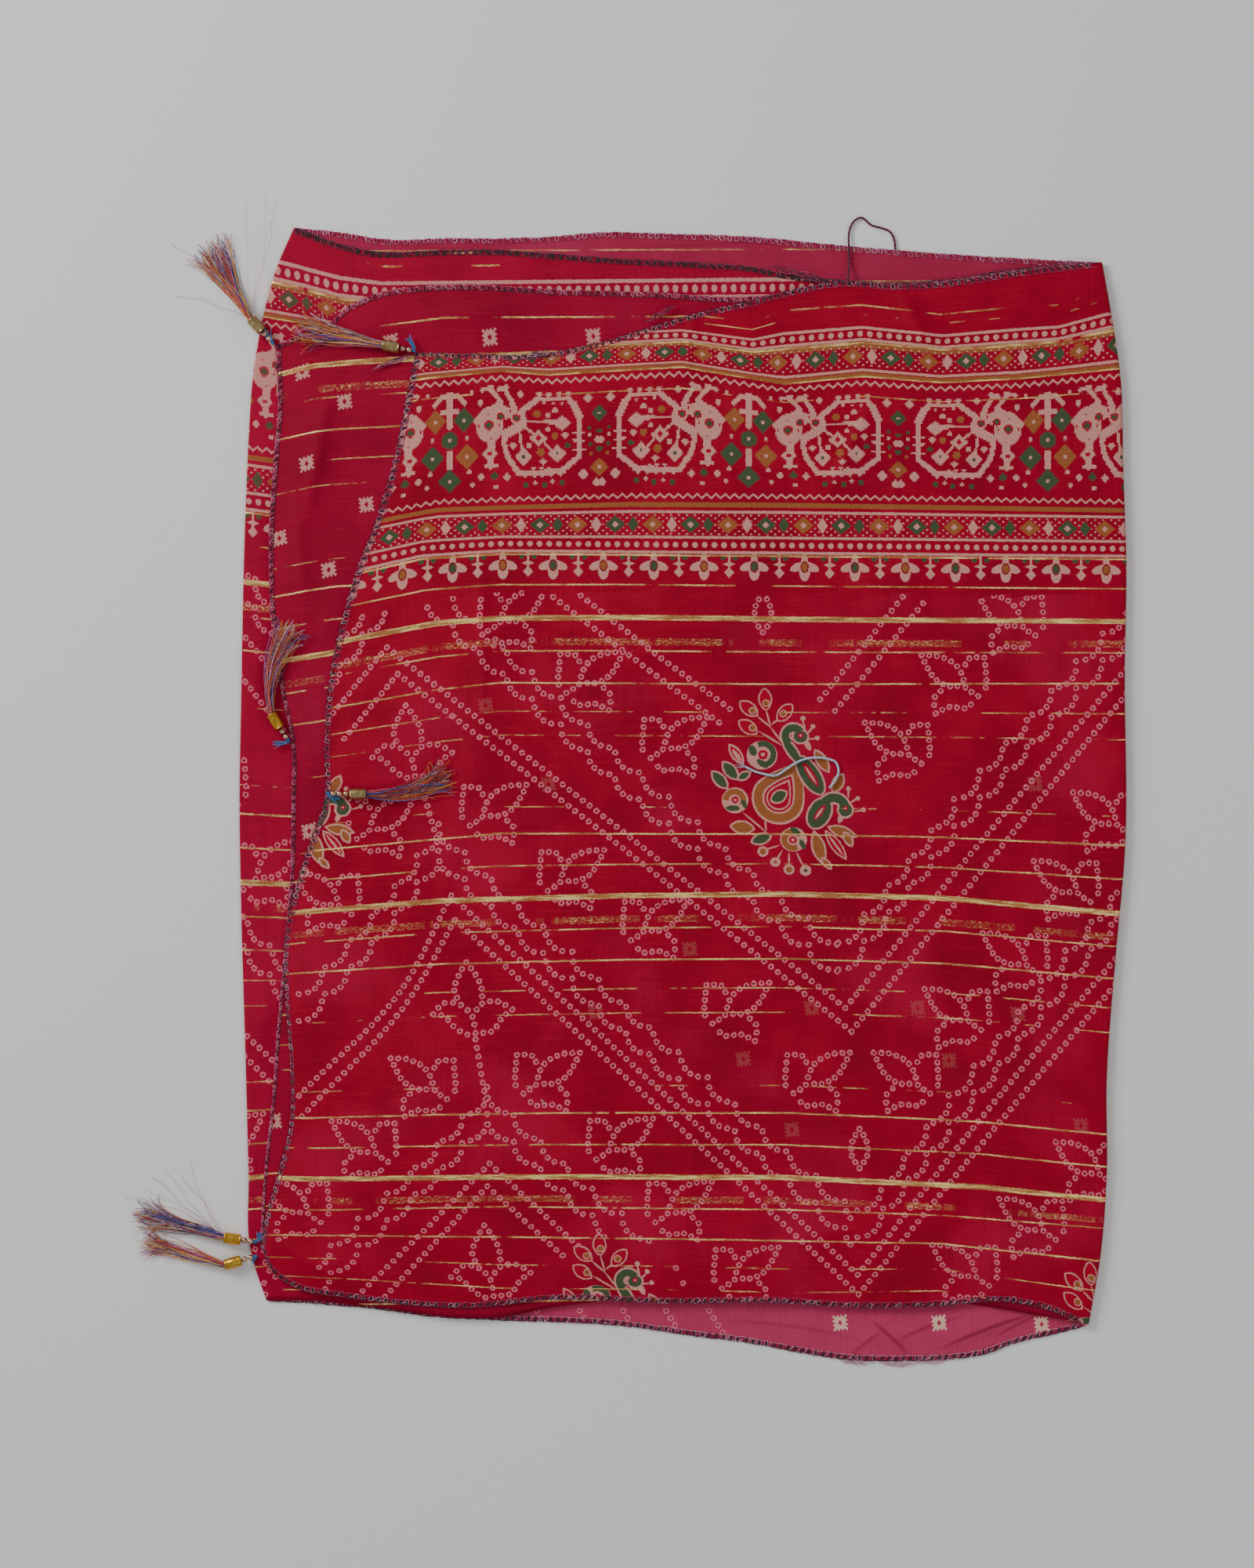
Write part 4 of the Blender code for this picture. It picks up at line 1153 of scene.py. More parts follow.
    def diamonds(self, pixel: float, phase: float) -> None:
        """A row of diamonds on a ground of tiny dots."""
        recipe = self.recipe
        height = self.v - self.level(pixel)
        band = height.near(0, 7.0)
        lean = height * 1.29
        grid_u = (self.u + lean).wrap(5.3)
        grid_v = (self.u - lean).wrap(5.3)
        speck = (grid_u * grid_u + grid_v * grid_v).below(1.35, 0.6)
        self.paint(speck * band * 0.85, self.cream)
        rows = (
            (0.0, 6.8, 5.7, self.green, 2.3), (11.8, 3.6, 5.3, self.green, 0.0),
            (24.8, 6.8, 5.7, self.ochre, 2.1), (37.4, 3.5, 5.4, self.cream, 0.0),
        )
        for shift, wide, tall, ink, core in rows:
            side = abs((self.u - (phase + shift)).wrap(49.9))
            reach = side / wide + abs(height) / tall
            self.paint(reach.below(1.16, 0.06), self.finish.ground)
            self.paint(reach.below(1.0, 0.06), ink)
            if core:
                self.paint((side + abs(height)).below(core, 0.3), self.cream)

    def zigzag(self, pixel: float) -> None:
        """A fine zigzag line."""
        wave = abs(self.u.wrap(6.2)) * 0.84 - 1.3
        self.paint((self.v - self.level(pixel) - wave).near(0, 0.75), self.cream)

    def pendants(self, pixel: float, phase: float) -> None:
        """Three-petalled drops with coloured hearts, and small drops between them."""
        recipe = self.recipe
        height = self.v - self.level(pixel)
        across = self.u - phase
        side = abs(across.wrap(33.3))
        petals = (
            ((side - 4.2) / 5.3, (height - 1.8 + (side - 4.2) * 0.28) / 2.9),
            (side / 3.5, (height + 1.9) / 5.6), (side / 2.2, (height - 5.6) / 5.2),
        )
        for px, py in petals:
            self.paint(recipe.length(recipe.join(px, py)).below(1.0, 0.08), self.cream)
        other = abs(across.wrap(66.6)).below(16, 1)
        heart = recipe.length(recipe.join(side / 2.8, (height - 1.7) / 3.9))
        self.paint(heart.below(1.0, 0.1), self.finish.shade)
        self.paint(heart.below(0.74, 0.1), recipe.mix(other, self.green, self.ochre))
        small = abs((across + 16.65).wrap(33.3))
        self.paint(small.below(0.75) * abs(height - 4.5).below(6.4), self.cream)
        bar = small / 4.2 + abs(height - 3.2) / 1.7
        self.paint(bar.below(1.0, 0.1), self.cream)
        drop = small / 3.3 + abs(height + 2.3) / 3.6
        self.paint(drop.below(1.0, 0.08), self.cream)
        leaf = recipe.length(recipe.join((small - 4.0) / 1.8, (height - 7.2) / 1.5))
        self.paint(leaf.below(1.0, 0.1), self.green)

    def figure_place(self, x: float, y: float) -> np.ndarray:
        """A charted place of the stepped figure on the cloth."""
        return np.array((x * PIXEL, FIGURE_FOOT[0] + (FIGURE_FOOT[1] - y) * FIGURE_SQUAT * PIXEL))

    def union(self, place: bpy.types.NodeSocket, forms: Sequence[tuple]) -> Signal:
        """How far outside the nearest of some lozenges and ellipses a place lies, as a share."""
        recipe = self.recipe
        nearest: Signal | None = None
        for x, y, wide, high, lozenge in forms:
            middle = tuple(self.figure_place(x, y))
            shares = (1 / (wide * PIXEL - 0.2), 1 / (high * FIGURE_SQUAT * PIXEL - 0.2), 0.0)
            local = recipe.vector("SUBTRACT", place, (*middle, 0.0))
            if lozenge:
                reach = recipe.dot(recipe.vector("ABSOLUTE", local), shares)
            else:
                reach = recipe.length(recipe.vector("MULTIPLY", local, shares))
            nearest = reach if nearest is None else nearest.least(reach)
        return nearest - 1.0

    def stamp(self, place: bpy.types.NodeSocket, forms: str, ink: object) -> None:
        """Paints one set of the figure's forms."""
        self.paint(self.union(place, FIGURE_FORMS[forms]).below(0.0, 0.05), ink)

    def figures(self) -> None:
        """The stepped figures, from their charted lines and forms."""
        recipe = self.recipe
        shifted = (self.u - self.finish.tree).wrap(FIGURE_PERIOD)
        column = (abs(shifted) / FIGURE_CELL).floor() * FIGURE_CELL + FIGURE_CELL / 2
        row = (self.v / FIGURE_CELL).floor() * FIGURE_CELL + FIGURE_CELL / 2
        place = recipe.join(column, row)
        cream = self.union(place, FIGURE_FORMS["cream"])
        for x1, y1, x2, y2, half in FIGURE_LINES:
            start, end = self.figure_place(x1, y1), self.figure_place(x2, y2)
            along = end - start
            local = recipe.vector("SUBTRACT", place, (*start, 0.0))
            share = recipe.math(
                "MULTIPLY", recipe.dot(local, (*(along / (along @ along)), 0.0)), 1.0, clamp=True
            )
            foot = recipe.node(
                "ShaderNodeVectorMath", {"operation": "SCALE"},
                {0: (*along, 0.0), "Scale": share},
            ).outputs[0]
            gap = recipe.node(
                "ShaderNodeVectorMath", {"operation": "DISTANCE"}, {0: local, 1: foot}
            ).outputs["Value"]
            cream = cream.least(Signal(recipe, gap) - (half * PIXEL - 0.28))
        self.paint(cream.below(0.0, 0.05), self.cream)
        self.stamp(place, "ground", self.finish.ground)
        self.stamp(place, "green", self.green)
        self.stamp(place, "ochre", self.ochre)
        right = shifted.above(0, 0.01)
        self.stamp(place, "green right, ochre left", recipe.mix(right, self.ochre, self.green))
        self.stamp(place, "ochre right, green left", recipe.mix(right, self.green, self.ochre))
        self.stamp(place, "cores", self.cream)

    def border(self) -> None:
        """The figured border, from its top line down to the pendants."""
        phase = self.finish.tree - 80.6
        for pixel in (428, 443, 481, 655, 687, 706):
            self.stripe(pixel, 0.9, self.cream)
        for pixel, half in ((451, 1.0), (487, 1.6), (646, 1.6)):
            self.stripe(pixel, half, self.ochre)
        for pixel in (435.5, 696.5):
            height = self.v - self.level(pixel)
            ball = self.recipe.length(self.recipe.join(self.u.wrap(6.43), height))
            self.paint(ball.below(1.9), self.cream)
        self.diamonds(463, 124.8 + phase)
        self.diamonds(671, -7.8 + phase)
        self.zigzag(497)
        self.zigzag(635)
        self.figures()
        self.pendants(727, -15.6 + phase)

    def pleats(self) -> Signal:
        """The sharp creases of the wrong side, from 0 beside them to about 1 on them, for their
        bump and their painted shade.
        """
        recipe = self.recipe
        lie = recipe.attribute("lie")
        total: Signal | None = None
        for crease in (c for c in FINE_CREASES if c.level == BACK):
            turn = math.radians(crease.angle)
            ahead = np.array((math.cos(turn), math.sin(turn))) / crease.half_length
            across = np.array((-math.sin(turn), math.cos(turn)))
            middle = (crease.x, crease.y)
            along = recipe.dot(lie, (*ahead, 0)) - float(ahead @ middle)
            bend = along * along * (2.0 * crease.half_length / 30)
            gap = recipe.dot(lie, (*across, 0)) - float(across @ middle) + bend
            ridge = abs(gap).below(1.0, 2.0) * (abs(along).below(0.7, 0.6) * crease.height)
            total = ridge if total is None else total.most(ridge)
        return total

    def metal_lines(self) -> Signal:
        """Where the metallic threads show: broad lines, fine ones beside them, and scuffs."""
        recipe = self.recipe
        finish = self.finish
        if self.design is Print.BORDER:
            rows = ((447, 0.9, 0.40), (489, 0.5, 0.45), (513, 0.4, 0.5), (710, 0.6, 0.38),
                    (748, 0.45, 0.45), (400, 0.45, 0.55), (412, 0.4, 0.6))
            rows = tuple((self.v - self.level(y), half, cut) for y, half, cut in rows)
        else:
            near = self.v.wrap(self.REPEAT)
            rows = (
                (near, 1.7, 0.26), (abs(near) - 21.3, 0.45, 0.45), (abs(near) - 42.1, 0.5, 0.40),
                (near + 15.4, 2.2, 0.5), (near + 61.0, 0.35, 0.52), (near - 60.0, 0.35, 0.56),
                (near + 77.0, 0.35, 0.52),
            )
        strip = (self.v / self.REPEAT + 0.5).floor() * 3.7
        shown: Signal | None = None
        for n, (gap, half, cut) in enumerate(rows):
            patch = recipe.noise(recipe.join(self.u * 0.022, strip + n * 9.1), 1.0, 4.0, 0.68)
            line = gap.near(0, half, 0.3) * patch.above(cut, 0.07)
            if half > 2.1:
                streak = recipe.noise(recipe.join(self.u * 0.4, self.v * 2.4), 1.0, 2.0)
                line = line * streak.above(0.55, 0.08) * 0.8
            shown = line if shown is None else shown.most(line)
        return shown * finish.metal

    def ribs(self, axis: str) -> Signal:
        """The woven threads that follow one another along an axis."""
        wave = self.recipe.node(
            "ShaderNodeTexWave", {"bands_direction": axis},
            {"Vector": self.place, "Scale": 0.3142 / self.THREAD, "Distortion": 1.2},
        )
        return Signal(self.recipe, wave.outputs["Fac"])

    def build(self) -> bpy.types.Material:
        """Makes the finished material."""
        recipe = self.recipe
        self.colour = self.ground()
        if self.design is Print.FIELD:
            if self.finish.ghost:
                self.sprigs(self.finish.ghost)
            self.dots()
        elif self.design is Print.BIRDS:
            self.dots()
            self.spray()
        elif self.design is Print.BORDER:
            self.border()
        else:
            self.sprigs(0.9)
            if self.finish.metal < 1:
                self.dots()
        shown = self.metal_lines()
        # Painted highlights: the metallic threads are painted from dark bronze up to bright gold by
        # the glint noise and the ribs.
        glint = self.streaks(0.04, 0.5, 3.0, 0.7)
        rib_highlight = abs((self.u + abs(self.v.wrap(1.6)) * 0.8).wrap(1.5)).above(0.3, 0.25)
        gold = recipe.mix((glint.above(0.51, 0.14) * 0.7 + rib_highlight * 0.3), GOLD[1], GOLD[0])
        colour = recipe.mix(shown, self.colour, gold)
        warp, weft = self.ribs("X"), self.ribs("Y")
        slub = self.streaks(0.1, 1.6, 2.0)
        relief = warp + weft + slub * 1.5 + shown * 2.0
        if self.pleat:
            relief = relief + self.pleat * 9.0
        return recipe.dress(
            Base_Color=colour, Roughness=0.62 - shown * 0.34 + glint * 0.08,
            Metallic=shown * 0.6, Sheen_Weight=0.05, Sheen_Roughness=0.4,
            Sheen_Tint=(*linear(230, 60, 110), 1.0), Specular_IOR_Level=0.12,
            Normal=recipe.bump(relief, 0.00006, 0.55),
        )


def put(
    data: bpy.types.ID, name: str, slot: str, replaced: Sequence[str] = ()
) -> bpy.types.Object:
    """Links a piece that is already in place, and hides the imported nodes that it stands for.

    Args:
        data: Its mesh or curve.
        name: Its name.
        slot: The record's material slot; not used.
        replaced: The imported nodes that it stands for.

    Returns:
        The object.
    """
    made = bpy.data.objects.new(name, data)
    bpy.context.scene.collection.objects.link(made)
    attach(made, "root")
    if replaced:
        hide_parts(*replaced)
    LOG.info("made %s", name)
    return made


@dataclass(frozen=True)
class ThreadFinish:
    """The colours of spun thread."""

    name: str
    colour: Tint
    dark: Tint
    roughness: float = 0.55
    sheen: float = 0.25

    def build(self) -> bpy.types.Material:
        """Makes the material."""
        recipe = Recipe(self.name)
        place = recipe.millimetres()
        fleck = recipe.noise(place, 0.9, 2.0)
        return recipe.dress(
            Base_Color=recipe.mix(fleck.above(0.5, 0.4), self.dark, self.colour),
            Roughness=self.roughness, Sheen_Weight=self.sheen, Sheen_Roughness=0.4,
            Specular_IOR_Level=0.35,
            Normal=recipe.bump(recipe.noise(place, 3.2, 1.0), 0.0001, 0.4),
        )


@dataclass(frozen=True)
class MetalFinish:
    """The colours of a bright and rubbed metal."""

    name: str
    bright: Tint
    worn: Tint
    roughness: float = 0.22

    def build(self) -> bpy.types.Material:
        """Makes the material."""
        recipe = Recipe(self.name)
        place = recipe.millimetres()
        rub = recipe.noise(place, 0.35, 3.0, 0.6)
        pit = recipe.noise(place, 2.6, 2.0)
        return recipe.dress(
            Base_Color=recipe.mix(rub.above(0.46, 0.7), self.worn, self.bright),
            Roughness=rub * 0.14 + self.roughness, Metallic=1.0 - pit.above(0.7, 0.2) * 0.25,
            Normal=recipe.bump(pit, 0.00006, 0.25),
        )


THREADS = {key: ThreadFinish(name, linear(*colour), linear(*dark)) for key, name, colour, dark in (
    ("blue", "blue_thread", (28, 96, 190), (16, 50, 120)),
    ("purple", "purple_thread", (78, 34, 92), (38, 18, 56)),
    ("red", "red_thread", (196, 44, 40), (140, 22, 32)),
    ("orange", "orange_thread", (214, 104, 44), (170, 66, 30)),
    ("yellow", "yellow_thread", (222, 178, 66), (178, 132, 40)),
    ("white", "white_thread", (226, 200, 206), (190, 150, 164)),
    ("lilac", "lilac_thread", (132, 104, 178), (90, 66, 132)),
    ("rose", "rose_thread", (206, 92, 122), (160, 60, 90)),
    ("grey", "grey_thread", (150, 132, 148), (104, 84, 100)),
    ("tie", "tie_thread", (44, 124, 190), (22, 74, 132)),
    ("hem_dark", "hem_dark_thread", (62, 8, 36), (34, 4, 24)),
    ("hem_pink", "hem_pink_thread", (186, 24, 92), (140, 12, 66)),
    ("hem_white", "hem_white_thread", (214, 160, 182), (170, 92, 124)),
    ("pale", "pale_blue_thread", (186, 204, 220), (140, 166, 190)),
)}
METALS = {
    "brass": MetalFinish("brass", linear(206, 184, 132), linear(132, 108, 66)),
    "gold": MetalFinish("gilt_brass", linear(232, 184, 72), linear(166, 116, 36)),
    "ball": MetalFinish("rosy_brass", linear(226, 196, 172), linear(160, 112, 84), 0.16),
}


class Palette:
    """Makes each material once and hands it out by name."""

    def __init__(self) -> None:
        """Starts with nothing made."""
        self.made: dict[str, bpy.types.Material] = {}

    def get(self, name: str) -> bpy.types.Material:
        """The thread or metal of that name."""
        if name not in self.made:
            self.made[name] = (THREADS.get(name) or METALS[name]).build()
        return self.made[name]


class Threads:
    """A bundle of thin threads that make up one piece."""

    def __init__(self, name: str, palette: Palette, sides: int = 0) -> None:
        """Starts an empty bundle."""
        self.palette = palette
        self.curve = bpy.data.curves.new(name, "CURVE")
        self.curve.dimensions = "3D"
        self.curve.bevel_depth = MM
        self.curve.bevel_resolution = sides
        self.curve.use_fill_caps = True
        self.slots: dict[str, int] = {}

    def add(self, points: np.ndarray, radius: float, finish: str, taper: float = 1.0) -> None:
        """Adds one thread.

        Args:
            points: Its measured places in millimetres.
            radius: Its radius in millimetres.
            finish: The name of its thread.
            taper: Its radius at the far end, as a share.
        """
        if finish not in self.slots:
            self.slots[finish] = len(self.slots)
            self.curve.materials.append(self.palette.get(finish))
        spline = self.curve.splines.new("POLY")
        spline.points.add(len(points) - 1)
        placed = in_part(points)
        spline.points.foreach_set("co", np.c_[placed, np.ones(len(placed))].ravel())
        spline.points.foreach_set("radius", radius * np.linspace(1, taper, len(placed)))
        spline.material_index = self.slots[finish]

    def put(self, slot: str, replaced: Sequence[str] = ()) -> bpy.types.Object:
        """Links the bundle as one piece."""
        return put(self.curve, self.curve.name, slot, replaced)


def note(made: bpy.types.Mesh, name: str, domain: str, values: np.ndarray) -> None:
    """Writes a vector for each point or face of a mesh."""
    layer = made.attributes.new(name, "FLOAT_VECTOR", domain)
    layer.data.foreach_set("vector", np.ascontiguousarray(values).ravel())


class Cloth:
    """One dressed stretch of the scarf, with the grid of its faces and their print."""

    BORDERED = (UNDER, FRONT)
    BORDER_FROM = 386.0             # print height from which up the figured border lies
    SPRAY_CLEAR = (49.0, 61.0)      # no tied dot lies this near to a spray's middle
    SPRAY_REACH = 95.0
    SPRIG_REACH = 11.0
    DOT_REACH = 6.5
    NOWHERE = np.empty((0, 2))

    def __init__(self, stretch: Stretch) -> None:
        """Works out the places of the stretch's grid."""
        self.stretch = stretch
        self.grid()

    def grid(self) -> None:
        """Lays the columns over the flat part and on round the fold."""
        st = self.stretch
        turns = np.radians(np.linspace(90, st.FOLD_END, st.FOLD_STEPS + 1))[1:] if st.fold else []
        s = np.concatenate([np.linspace(0, 1, st.across + 1), np.ones(len(turns))])
        turn = np.concatenate([np.full(st.across + 1, math.pi / 2), turns])
        if st.fold < 0:
            s, turn = 1 - s[::-1], turn[::-1]
            s[:len(turns)] = 0.0
        t = np.linspace(0, 1, st.up + 1)
        s, t = np.meshgrid(s, t)
        turn = np.broadcast_to(turn, s.shape)
        plan = st.plan(s.ravel(), t.ravel())
        x, y = plan[:, 0].reshape(s.shape), plan[:, 1].reshape(s.shape)
        edge = st.edge_distance(s, t)
        z = st.height(x, y, edge)
        radius = st.fold_radius()
        out, drop = np.cos(turn), 1 - np.sin(turn)
        lift = z - (st.level * st.PITCH + st.TOP)
        self.x = x + st.fold * out * (radius + st.THICK / 2)
        self.y = y
        bent = z - lift * drop / 2 - drop * (radius + st.THICK / 2)
        self.z = np.where(drop > 1e-9, bent, z)
        self.u = x + st.fold * radius * (math.pi / 2 - turn)
        self.v = st.cloth_height(x, y)
        self.edge = edge

    def print_place(self, pixels: Sequence[Pair]) -> np.ndarray:
        """Where places in the picture lie on the cloth's print."""
        place = from_picture(pixels)
        return np.stack([place[:, 0], self.stretch.cloth_height(place[:, 0], place[:, 1])], 1)

    def dots(self) -> np.ndarray:
        """The centres of the tied dots on the print."""
        level = self.stretch.level
        if level == INNER:
            return self.NOWHERE
        if level == BACK:
            return self.print_place(back_dots())
        front = front_dots()
        if level == UNDER:
            return np.stack([2 * UNDER_MIRROR - front[:, 0], front[:, 1]], 1)
        return front

    def sprays(self) -> np.ndarray:
        """The centres of the bird sprays on the print."""
        return self.print_place(BIRD_SPRAYS) if self.stretch.level == FRONT else self.NOWHERE

    def mesh(self) -> bpy.types.Mesh:
        """Makes the mesh with its print attributes and a design for each face."""
        rows, columns = self.x.shape
        bm = bmesh.new()
        bmesh.ops.create_grid(bm, x_segments=columns - 1, y_segments=rows - 1, size=0.5)
        made = bpy.data.meshes.new(self.stretch.name)
        bm.to_mesh(made)
        bm.free()
        flat = np.empty(len(made.vertices) * 3)
        made.vertices.foreach_get("co", flat)
        flat = flat.reshape(-1, 3)
        i = np.rint((flat[:, 0] + 0.5) * (columns - 1)).astype(int)
        j = np.rint((flat[:, 1] + 0.5) * (rows - 1)).astype(int)
        places = in_part(np.stack([self.x[j, i], self.y[j, i], self.z[j, i]], axis=1))
        made.vertices.foreach_set("co", places.ravel())
        printed = np.stack([self.u[j, i], self.v[j, i], self.edge[j, i]], axis=1)
        note(made, "print_place", "POINT", printed)
        note(made, "lie", "POINT", np.stack([self.x[j, i], self.y[j, i], np.zeros(len(i))], axis=1))
        made.polygons.foreach_set("use_smooth", np.ones(len(made.polygons), bool))
        loops = np.empty(len(made.loops), int)
        made.loops.foreach_get("vertex_index", loops)
        self.middles = printed[loops.reshape(-1, 4)].mean(axis=1)[:, :2]
        self.mark_faces(made)
        made.update()
        return made

    def nearest(self, centres: np.ndarray, count: int, reach: float) -> np.ndarray:
        """For each face its nearest centres, or FAR where none is within reach.

        Args:
            centres: Places on the print.
            count: How many for each face.
            reach: How near a centre has to be, in millimetres.

        Returns:
            An array of faces x count x 3.
        """
        found = np.full((len(self.middles), count, 3), FAR)
        if not len(centres):
            return found
        tree = KDTree(len(centres))
        for n, centre in enumerate(centres):
            tree.insert((*centre, 0), n)
        tree.balance()
        for n, middle in enumerate(self.middles):
            for k, (place, _, gap) in enumerate(tree.find_n((*middle, 0), count)):
                if gap < reach:
                    found[n, k] = (place.x, place.y, 0)
        return found

    def mark_faces(self, made: bpy.types.Mesh) -> None:
        """Writes each face's nearest motifs and its design."""
        stretch = self.stretch
        sprays = self.sprays()
        bordered = stretch.level in self.BORDERED
        sprigs = self.print_place(stretch.sprigs) if stretch.sprigs else self.NOWHERE
        motifs = {"sprig_at": self.nearest(sprigs, 1, self.SPRIG_REACH)[:, 0]}
        dots = self.dots()
        if len(sprays) and len(dots):
            away = (dots[:, None] - sprays[None]) / self.SPRAY_CLEAR
            dots = dots[(np.linalg.norm(away, axis=2) > 1).all(axis=1)]
        dots = dots[dots[:, 1] < self.BORDER_FROM] if bordered else dots
        near = self.nearest(dots, len(DOT_ATTRIBUTES), self.DOT_REACH)
        for k, name in enumerate(DOT_ATTRIBUTES):
            motifs[name] = near[:, k]
        design = np.full(len(made.polygons), 0)
        spray_at = self.nearest(sprays, 1, self.SPRAY_REACH)[:, 0]
        gap = np.abs(self.middles - spray_at[:, :2])
        motifs["spray_at"] = spray_at
        used = [Print.FIELD]
        if len(sprays):
            used.append(Print.BIRDS)
            design[(gap[:, 0] < SPRAY_HALF[0]) & (gap[:, 1] < SPRAY_HALF[1])] = 1
        if bordered:
            used.append(Print.BORDER)
            design[self.middles[:, 1] > self.BORDER_FROM] = len(used) - 1
        else:
            used = [Print.SPRIGS]
        for name, values in motifs.items():
            note(made, name, "FACE", values)
        for kind in used:
            made.materials.append(PrintedCloth(FINISHES[stretch.name], kind).build())
        made.polygons.foreach_set("material_index", design)

    def build(self) -> bpy.types.Object:
        """Makes the stretch as one thin solid sheet."""
        stretch = self.stretch
        made = put(self.mesh(), stretch.name, stretch.node, [stretch.node])
        solid = made.modifiers.new("thickness", "SOLIDIFY")
        solid.thickness = stretch.THICK * MM
        solid.offset = -1.0
        below = [lower.name for lower in STRETCHES[:stretch.level]]
        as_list(below[-1:])
        return made

    def surface(self, s: np.ndarray, t: np.ndarray) -> np.ndarray:
        """Points on the upper face at some shares across and up the flat part."""
        plan = self.stretch.plan(s, t)
        edge = self.stretch.edge_distance(s, t)
        return np.c_[plan, self.stretch.height(plan[:, 0], plan[:, 1], edge)]


# The under layer's print is the front's, mirrored about this line of the picture
UNDER_MIRROR = (380 - PICTURE_MIDDLE[0]) * PIXEL


@cache
def front_dots() -> np.ndarray:
    """The centres of the tied dots on the front's print."""
    front = Cloth(STRETCHES[FRONT])
    return np.concatenate([front.print_place(motif.places()) for motif in DOT_ROWS + DOT_FLOWERS])


def back_dots() -> np.ndarray:
    """Tied dots that show on the wrong side, in slanting rows, in pixels."""
    starts = range(355, 355 + 11 * 55, 55)
    rows = [DotRow(((start, 1672), (start + 45, 1745))) for start in starts]
    return np.concatenate([row.places() for row in rows])


@dataclass(frozen=True)
class Overlock:
    """Sewing that binds one edge of a stretch: short bars with loops round them."""

    name: str
    stretch: int
    side: str
    main: str
    pale: str
    loop: str
    bars: int               # main threads in one stitch
    loops: int              # pale threads in one stitch
    pitch: float = 4.8
    width: float = 3.4
    slant: float = 0.9
    start: float = 0.0
    end: float = 1.0

    STEP = 2.4              # millimetres between two points of the threads along the edge

    def lines(self, cloth: Cloth) -> list[np.ndarray]:
        """The cloth's edge and the inner side of the sewing, as many points each."""
        shares = np.linspace(self.start, self.end, 600)
        fixed = {"left": 0.0, "bottom": 0.0, "top": 1.0}[self.side]
        inner = {"left": self.width / Stretch.WIDTH, "bottom": self.width / Stretch.HEIGHT,
                 "top": 1 - self.width / Stretch.HEIGHT}[self.side]
        found = []
        for share in (fixed, inner):
            still = np.full_like(shares, share)
            s, t = (still, shares) if self.side == "left" else (shares, still)
            found.append(cloth.surface(s, t))
        return found

    def build(self, cloth: Cloth, palette: Palette) -> bpy.types.Object:
        """Sews along the edge.

        Args:
            cloth: The stretch that is sewn.
            palette: The thread colours.

        Returns:
            The sewing as one piece.
        """
        rng = np.random.default_rng(len(self.name) * 7 + self.stretch)
        bundle = Threads(self.name, palette)
        outer, inner = self.lines(cloth)
        station = stations(outer)

        def at(distance: np.ndarray, across: np.ndarray, lift: np.ndarray) -> np.ndarray:
            """Places so far along the edge and so far in from it, 1 at the inner side."""
            distance = np.atleast_1d(distance)
            first, last = (
                np.stack([np.interp(distance, station, line[:, k]) for k in range(3)], axis=1)
                for line in (outer, inner)
            )
            places = first + (last - first) * np.reshape(across, (-1, 1))
            places[:, 2] += lift
            return places

        for n in range(int(station[-1] / self.pitch)):
            base = n * self.pitch + rng.normal(0, 0.35)
            slant = self.slant + rng.normal(0, 0.35)
            for k in range(self.bars):
                across = np.array((0.0, -0.08, 0.35, rng.uniform(0.75, 1.0)))
                where = base + k * 0.95 + rng.normal(0, 0.12) + slant * across
                bundle.add(at(where, across, np.array((-0.4, 0.1, 0.42, 0.25))), 0.33, self.main)
            for k in range(self.loops):
                angle = np.linspace(0.4, 5.6, 8) + rng.uniform(0, 6.3)
                across = 0.42 + rng.uniform(0.34, 0.6) * np.cos(angle)
                where = base + 0.5 + slant * across + rng.uniform(0.9, 1.7) * np.sin(angle)
                colour = self.loop if rng.uniform() < 0.45 else self.pale
                bundle.add(at(where, across, 0.28 + 0.12 * np.sin(angle * 2 + k)), 0.22, colour)
            across = np.array((0.1, rng.uniform(-0.15, 0.3), rng.uniform(0.3, 0.9)))
            where = base + np.array((1.4, 2.5, self.pitch - 0.8)) + rng.normal(0, 0.25, 3)
            bundle.add(at(where, across, np.array((0.2, 0.42, 0.3))), 0.26,
                       self.pale if rng.uniform() < 0.4 else self.loop)
        along = np.arange(0, station[-1], self.STEP)
        for share, radius, colour in ((0.0, 0.3, self.main), (0.9, 0.24, self.loop)):
            across = share + rng.uniform(-0.1, 0.12, len(along))
            bundle.add(at(along, across, rng.uniform(0.02, 0.25, len(along))), radius, colour)
        return bundle.put("chain_thread")


# Each row: name, stretch, edge, main, pale and loop thread, and bars and loops of one stitch
OVERLOCKS = (
    Overlock("sewing_back_top", 0, "top", "hem_pink", "hem_white", "hem_pink", 1, 2),
    Overlock("sewing_back_bottom", 0, "bottom", "hem_dark", "hem_pink", "hem_white", 2, 1),
    Overlock("sewing_under_top", 1, "top", "hem_dark", "hem_pink", "hem_dark", 3, 1),
    Overlock("sewing_inner_left", 2, "left", "hem_pink", "hem_white", "hem_dark", 2, 1),
    Overlock("sewing_inner_top", 2, "top", "hem_pink", "hem_white", "hem_dark", 2, 1),
    Overlock("sewing_front_left", 3, "left", "hem_dark", "hem_white", "hem_pink", 2, 2,
             pitch=5.6, width=4.8, slant=1.6),
    Overlock("sewing_front_top", 3, "top", "hem_dark", "hem_white", "hem_pink", 2, 1),
    Overlock("sewing_front_bottom", 3, "bottom", "hem_dark", "hem_white", "hem_pink", 2, 1),
)


def direction(degrees: float) -> np.ndarray:
    """A unit vector in plan."""
    return np.array((math.cos(math.radians(degrees)), math.sin(math.radians(degrees)), 0.0))


def sideways(ahead: np.ndarray) -> np.ndarray:
    """The unit vector in plan to the left of another."""
    return np.array((-ahead[1], ahead[0], 0))


